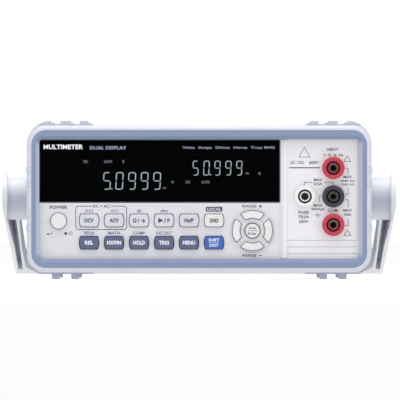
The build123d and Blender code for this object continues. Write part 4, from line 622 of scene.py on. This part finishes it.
def panel_legends():
    """The printing on the panel round the keys: names, a frame round two keys, a badge and symbols."""
    print_slate = Print("panel_legends", "root", slate_ink, panel_y)
    print_blue = Print("panel_second_functions", "root", blue_ink, panel_y)
    button_x, _, button_z = middle("power_button")
    print_slate.text("POWER", button_x, button_z + 9.2 * MM, 2.2 * MM, 12.0 * MM, bold=0.03)
    # Signs under the button: a bar and a stroke on the left, a block and a ring on the right
    sign_z = button_z - 8.3 * MM
    bar_z, stroke_x = sign_z - 0.4 * MM, button_x - 4.6 * MM
    print_slate.stroke((button_x - 7.9 * MM, bar_z), (button_x - 5.9 * MM, bar_z), 0.9 * MM)
    print_slate.stroke((stroke_x, sign_z - 1.0 * MM), (stroke_x, sign_z + 1.0 * MM), 0.45 * MM)
    print_slate.prism(rounded_box(button_x + 3.9 * MM, button_x + 5.8 * MM,
                                  sign_z - 0.9 * MM, sign_z + 0.8 * MM, 0.5 * MM, 3))
    print_slate.path(arc_points(button_x + 8.2 * MM, sign_z, 1.05 * MM, 0, 330, 11), 0.36 * MM, True)
    # Frame round the two voltage keys, open at the top for its title
    low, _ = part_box("key_dc_volts")
    _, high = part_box("key_ac_volts")
    left, right = low.x - 1.7 * MM, high.x + 1.2 * MM
    bottom, top = low.z - 1.1 * MM, high.z + 4.6 * MM
    title_x = (left + right) / 2
    outline = rounded_box(left, right, bottom, top, 1.7 * MM)
    gap = 6.6 * MM
    frame_line = [(title_x + gap, top)] + outline[11::-1] + outline[:11:-1] + [(title_x - gap, top)]
    print_slate.path(frame_line, 0.45 * MM)
    print_slate.text("DC + AC", title_x, top, PANEL_TEXT, 11.2 * MM, bold=0.02)
    # Second functions over their keys
    above = 1.5 * MM
    for key, words, width in (
        ("dc_volts", "DCI", 5.0), ("ac_volts", "ACI", 4.8), ("ohms", "dB", 3.1), ("diode", "dBm", 5.0),
        ("relative", "REL#", 6.8), ("min_max", "MATH", 8.0), ("hold", "COMP", 8.0),
        ("trigger", "INT.EXT", 10.2),
    ):
        low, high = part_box("key_" + key)
        print_blue.text(words, (low.x + high.x) / 2, high.z + above, PANEL_TEXT, width * MM, bold=0.02)
    # Badge over the second-function key
    low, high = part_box("key_second")
    badge_x, badge_z = (low.x + high.x) / 2, high.z + 2.6 * MM
    print_slate.prism(rounded_box(badge_x - 5.6 * MM, badge_x + 5.6 * MM, badge_z - 1.65 * MM,
                                  badge_z + 1.65 * MM, 0.6 * MM, 3))
    badge = Print("badge_legend", "root", pale_ink, panel_y - INK_THICKNESS)
    badge.text("LOCAL", badge_x, badge_z, PANEL_TEXT, 9.4 * MM, bold=0.02)
    badge.done()
    pad_x, _, pad_z = middle("key_auto_range")
    for title_z in (pad_z + 16.5 * MM, pad_z - 16.5 * MM):
        print_slate.text("RANGE", pad_x - 2.0 * MM, title_z, PANEL_TEXT, 9.4 * MM, bold=0.02)
    # Plus above the range pad, minus below it
    sign_x, plus_z, minus_z = pad_x + 5.3 * MM, pad_z + 16.4 * MM, pad_z - 16.6 * MM
    print_slate.stroke((sign_x - 1.1 * MM, plus_z), (sign_x + 1.1 * MM, plus_z), 0.6 * MM)
    print_slate.stroke((sign_x, plus_z - 1.1 * MM), (sign_x, plus_z + 1.1 * MM), 0.6 * MM)
    print_slate.stroke((sign_x - 1.2 * MM, minus_z), (sign_x + 1.2 * MM, minus_z), 0.4 * MM)
    print_slate.done()
    print_blue.done()


def terminal_legends():
    """Names, ratings and joining lines round the four sockets."""
    sheet = Print("terminal_legends", "root", slate_ink, panel_y)
    red_x, _, top_z = middle("volt_jack")
    _, _, mid_z = middle("common_jack")
    _, _, low_z = middle("amp_jack")
    white_x, _, _ = middle("fuse_cap")
    right = red_x + 9.6 * MM
    line = 0.36 * MM
    between = red_x - 10.3 * MM
    under = white_x - 0.8 * MM
    for words, x, z, height, width in (
        ("INPUT", red_x - 0.4 * MM, top_z + 12.4 * MM, 1.9, 7.8),
        ("V  Ω  →  Hz", red_x, top_z + 8.8 * MM, 1.7, 13.4),
        ("COM", red_x - 0.4 * MM, mid_z - 9.3 * MM, 2.1, 6.4),
        ("MAX", right, mid_z + 13.1 * MM, 1.7, 5.6), ("1000V DC", right, mid_z + 10.4 * MM, 1.4, 9.8),
        ("750V AC", right, mid_z + 8.0 * MM, 1.4, 9.2), ("MAX", right, mid_z - 9.3 * MM, 1.7, 5.8),
        ("10A", right, mid_z - 12.1 * MM, 1.9, 5.0), ("MAX", between, mid_z + 11.1 * MM, 1.8, 5.6),
        ("0.5A", between, mid_z + 8.4 * MM, 1.8, 5.6), ("FUSE", under, mid_z - 10.7 * MM, 1.9, 6.8),
        ("T0.5A", under, mid_z - 13.7 * MM, 1.9, 7.2), ("250V", under, mid_z - 16.8 * MM, 1.9, 6.4),
        ("MAX", between, mid_z - 6.0 * MM, 1.8, 5.8), ("500Vpk", between, mid_z - 8.7 * MM, 1.7, 9.0),
        ("AC / DC", white_x - 5.2 * MM, mid_z + 22.7 * MM, 1.9, 9.4),
        ("600V", white_x + 6.0 * MM, mid_z + 22.7 * MM, 1.9, 6.6),
    ):
        sheet.text(words, x, z, height * MM, width * MM, bold=0.025)
    # Plain triangle marks, one large and two small, and an earth sign under the middle ratings
    for x, base, half, rise in ((white_x - 0.3 * MM, top_z + 7.3 * MM, 3.7 * MM, 6.6 * MM),
                                (right - 0.2 * MM, top_z + 4.4 * MM, 2.3 * MM, 3.8 * MM),
                                (right - 0.2 * MM, low_z - 7.1 * MM, 2.3 * MM, 3.8 * MM)):
        sheet.path([(x - half, base), (x + half, base), (x, base + rise)], 0.35 * MM, True)
    earth_z = mid_z - 11.4 * MM
    sheet.stroke((between, earth_z + 0.9 * MM), (between, earth_z - 0.6 * MM), 0.3 * MM)
    for step, half in enumerate((2.1 * MM, 1.4 * MM, 0.7 * MM)):
        drop = earth_z - (0.8 + 0.8 * step) * MM
        sheet.stroke((between - half, drop), (between + half, drop), 0.32 * MM)
    # Lines that join the sockets to their ratings
    edge = red_x + 8.0 * MM
    stem = red_x + 10.0 * MM
    sheet.path([(edge, top_z - 0.4 * MM), (stem, top_z - 0.4 * MM), (stem, top_z - 4.3 * MM)], line)
    sheet.path([(stem, mid_z + 5.7 * MM), (stem, mid_z + 1.5 * MM), (edge, mid_z + 1.5 * MM)], line)
    sheet.path([(edge, mid_z - 2.3 * MM), (stem, mid_z - 2.3 * MM), (stem, mid_z - 7.5 * MM)], line)
    sheet.path([(stem, low_z + 4.4 * MM), (stem, low_z - 0.6 * MM), (edge, low_z - 0.6 * MM)], line)
    height = mid_z + 9.4 * MM
    sheet.path([(white_x - 0.3 * MM, height - 1.9 * MM), (white_x - 0.3 * MM, height),
                (white_x + 5.2 * MM, height)], line)
    sheet.path([(red_x - 6.0 * MM, height), (red_x - 0.2 * MM, height),
                (red_x - 0.2 * MM, height - 1.6 * MM)], line)
    sheet.path([(red_x - 8.2 * MM, mid_z - 0.2 * MM), (red_x - 9.4 * MM, mid_z - 0.2 * MM),
                (red_x - 9.4 * MM, mid_z - 4.0 * MM)], line)
    # Rule under the rating at the upper left of the terminals
    sheet.stroke((white_x - 10.5 * MM, mid_z + 19.2 * MM), (white_x + 10.2 * MM, mid_z + 19.2 * MM), 0.7 * MM)
    sheet.done()


key_legends()
panel_legends()
terminal_legends()


# ---------------------------------------------------------------- display
window_low, window_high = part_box("display_window")
tube_low, tube_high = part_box("display_tube")
lit = ink("lit_phosphor", linear(226, 238, 240), glow=1.7)
lit_small = ink("lit_word_phosphor", linear(206, 214, 226), glow=0.75)
# Painted glow: the printed window legends emit light, though they are only ink
window_painted_glow_ink = ink("window_painted_glow_ink", linear(232, 234, 240), glow=0.25)
window_faint_painted_glow = ink("window_faint_ink", linear(168, 176, 206), glow=0.15)
SEGMENTS = {"0": "ABCDEF", "5": "AFGCD", "9": "ABCDFG"}
SLANT = 0.05   # sideways per upwards
BEND = 0.16    # cut corner, as a share of half the height
SEGMENT_GAP = 0.12 * MM


def segment_paths(half_width, half_height, bend, gap):
    """The seven strokes of a digit about the origin, with cut corners and small gaps between them."""
    across, up = half_width, half_height
    return {
        "A": [(-across + bend + gap, up), (across - bend - gap, up)],
        "B": [(across - bend, up), (across, up - bend), (across, bend / 2 + gap)],
        "C": [(across, -bend / 2 - gap), (across, -up + bend), (across - bend, -up)],
        "D": [(across - bend - gap, -up), (-across + bend + gap, -up)],
        "E": [(-across + bend, -up), (-across, -up + bend), (-across, -bend / 2 - gap)],
        "F": [(-across, bend / 2 + gap), (-across, up - bend), (-across + bend, up)],
        "G": [(-across + bend / 2 + gap, 0), (across - bend / 2 - gap, 0)],
    }


def number(sheet, digits, x, z, pitch, half_width, half_height, width, point_after):
    """A row of seven-segment digits, the first one centred on (x, z), with a point after one of them."""
    strokes = segment_paths(half_width, half_height, half_height * BEND, SEGMENT_GAP)
    for place, digit in enumerate(digits):
        centre = x + place * pitch
        for segment in SEGMENTS[digit]:
            sheet.path([(centre + px + SLANT * pz, z + pz) for px, pz in strokes[segment]], width)
        if place == point_after:
            dot_x = centre + half_width + 0.9 * MM
            sheet.prism(rounded_box(dot_x - 0.35 * MM, dot_x + 0.35 * MM, z - half_height - 0.1 * MM,
                                    z - half_height + 0.6 * MM, 0.15 * MM, 2))


def display():
    """The lit readings, the words printed on the window and the black mask behind it."""
    left, bottom = window_low.x, window_low.z
    sheet = Print("lit_readings", "root", lit, tube_low.y - 0.01 * MM)
    number(sheet, "50999", left + 45.7 * MM, bottom + 14.7 * MM, 8.37 * MM, 2.25 * MM, 5.55 * MM,
           0.46 * MM, 0)
    number(sheet, "50999", left + 105.1 * MM, bottom + 23.3 * MM, 7.3 * MM, 1.75 * MM, 4.67 * MM,
           0.42 * MM, 1)
    sheet.done()
    sheet = Print("lit_words", "root", lit_small, tube_low.y - 0.01 * MM)
    for words, x, z, height, width in (
        ("m", 84.2, 9.9, 1.9, 2.0), ("V", 89.7, 13.8, 2.0, 1.8), ("m", 139.7, 19.7, 1.9, 2.0),
        ("A", 148.0, 19.7, 2.0, 1.9), ("DC", 31.5, 27.6, 1.9, 2.9), ("AUTO", 46.3, 27.6, 1.8, 5.4),
        ("S", 56.7, 27.6, 2.0, 1.2), ("DC", 100.0, 13.9, 1.9, 2.9), ("AUTO", 111.8, 13.9, 1.8, 5.4),
    ):
        sheet.text(words, left + x * MM, bottom + z * MM, height * MM, width * MM)
    sheet.done()
    words = Print("window_legends", "root", window_painted_glow_ink, window_low.y)
    words.text("MULTIMETER", left + 16.4 * MM, bottom + 37.5 * MM, 3.0 * MM, width=26.5 * MM, bold=0.03)
    words.done()
    words = Print("window_small_legends", "root", window_faint_painted_glow, window_low.y)
    words.text("DUAL DISPLAY", left + 46.5 * MM, bottom + 36.9 * MM, 2.3 * MM, width=24.4 * MM, bold=0.01)
    words.text("Volts  Amps  Ohms  Hertz  True RMS", left + 127.2 * MM, bottom + 36.8 * MM, 1.8 * MM,
               width=62.0 * MM)
    words.done()
    mask = Print("window_mask", "root", looks["display_glass"], window_high.y + 0.06 * MM, 0.04 * MM)
    edge = 0.8 * MM
    inner_left, inner_right = tube_low.x, tube_high.x
    inner_bottom, inner_top = tube_low.z, tube_high.z
    outer_left, outer_right = window_low.x + edge, window_high.x - edge
    outer_bottom, outer_top = window_low.z + edge, window_high.z - edge
    for x0, x1, z0, z1 in (
        (outer_left, inner_left, outer_bottom, outer_top),
        (inner_right, outer_right, outer_bottom, outer_top),
        (inner_left, inner_right, outer_bottom, inner_bottom),
        (inner_left, inner_right, inner_top, outer_top),
    ):
        mask.prism([(x0, z0), (x1, z0), (x1, z1), (x0, z1)])
    mask.done()


display()


# ---------------------------------------------------------------- stage, lights and camera
def area_light(name, place, target, size, power):
    """A square softbox that faces a target."""
    lamp = bpy.data.lights.new(name, "AREA")
    lamp.shape = "RECTANGLE"
    lamp.size = lamp.size_y = size
    lamp.energy = power
    holder = bpy.data.objects.new(name, lamp)
    holder.location = place
    holder.rotation_euler = (Vector(target) - Vector(place)).to_track_quat("-Z", "Y").to_euler()
    bpy.context.scene.collection.objects.link(holder)


FLOOR_SIZE = 9.0
FLOOR_GREY = linear(140, 140, 141)
FLOOR_GLOW = 0.84
# Name, place, how far back it aims, size and power of each softbox
SOFTBOXES = (
    ("top_box", (0.0, -0.25, 1.5), 0.0, 1.6, 25.0),
    ("left_box", (-1.4, -1.3, 0.9), -0.1, 1.0, 5.0),
    ("right_box", (1.5, -1.2, 0.8), -0.1, 1.0, 5.0),
)
SURROUND_LIGHT = 0.5    # what lights the object
SURROUND_SEEN = 1.02    # what the camera sees behind it
CAMERA_DISTANCE = 12.0
CAMERA_X = 0.55 * MM
CAMERA_Z = 53.1 * MM
FRAME_WIDTH = 268.0 * MM
SENSOR_MM = 36.0


def stage():
    """A pale seamless floor, a white surround and three softboxes."""
    shape = bmesh.new()
    bmesh.ops.create_grid(shape, x_segments=1, y_segments=1, size=FLOOR_SIZE)
    data = bpy.data.meshes.new("floor")
    shape.to_mesh(data)
    shape.free()
    floor = bpy.data.objects.new("floor", data)
    bpy.context.scene.collection.objects.link(floor)
    paper = plastic("paper", FLOOR_GREY, rough=0.9, grain_mm=3.0, tone=0.004, wear_and_highlight=0.0, specular=0.0)
    paper.surface.inputs["Emission Color"].default_value = WHITE
    paper.surface.inputs["Emission Strength"].default_value = FLOOR_GLOW
    data.materials.append(paper.material)
    world = bpy.data.worlds.new("surround")
    world.use_nodes = True
    tree = world.node_tree
    background = tree.nodes["Background"]
    background.inputs["Color"].default_value = WHITE
    path = tree.nodes.new("ShaderNodeLightPath")
    strength = tree.nodes.new("ShaderNodeMapRange")
    strength.inputs["To Min"].default_value = SURROUND_LIGHT
    strength.inputs["To Max"].default_value = SURROUND_SEEN
    tree.links.new(path.outputs["Is Camera Ray"], strength.inputs["Value"])
    tree.links.new(strength.outputs["Result"], background.inputs["Strength"])
    bpy.context.scene.world = world
    middle_z = (cad_low.z + cad_high.z) / 2
    for name, place, target_y, size, power in SOFTBOXES:
        area_light(name, place, (0, target_y, middle_z), size, power)


def camera():
    """A long lens far in front of the panel, level, at about half the meter's height."""
    lens = bpy.data.cameras.new("camera")
    lens.sensor_width = SENSOR_MM
    lens.lens = SENSOR_MM * CAMERA_DISTANCE / FRAME_WIDTH
    lens.clip_start, lens.clip_end = 0.1, 90.0
    holder = bpy.data.objects.new("camera", lens)
    holder.location = (CAMERA_X, cad_low.y - CAMERA_DISTANCE, CAMERA_Z)
    holder.rotation_euler = (math.radians(90), 0, 0)
    bpy.context.scene.collection.objects.link(holder)
    bpy.context.scene.camera = holder


stage()
camera()
bpy.context.scene.view_settings.view_transform = "Standard"
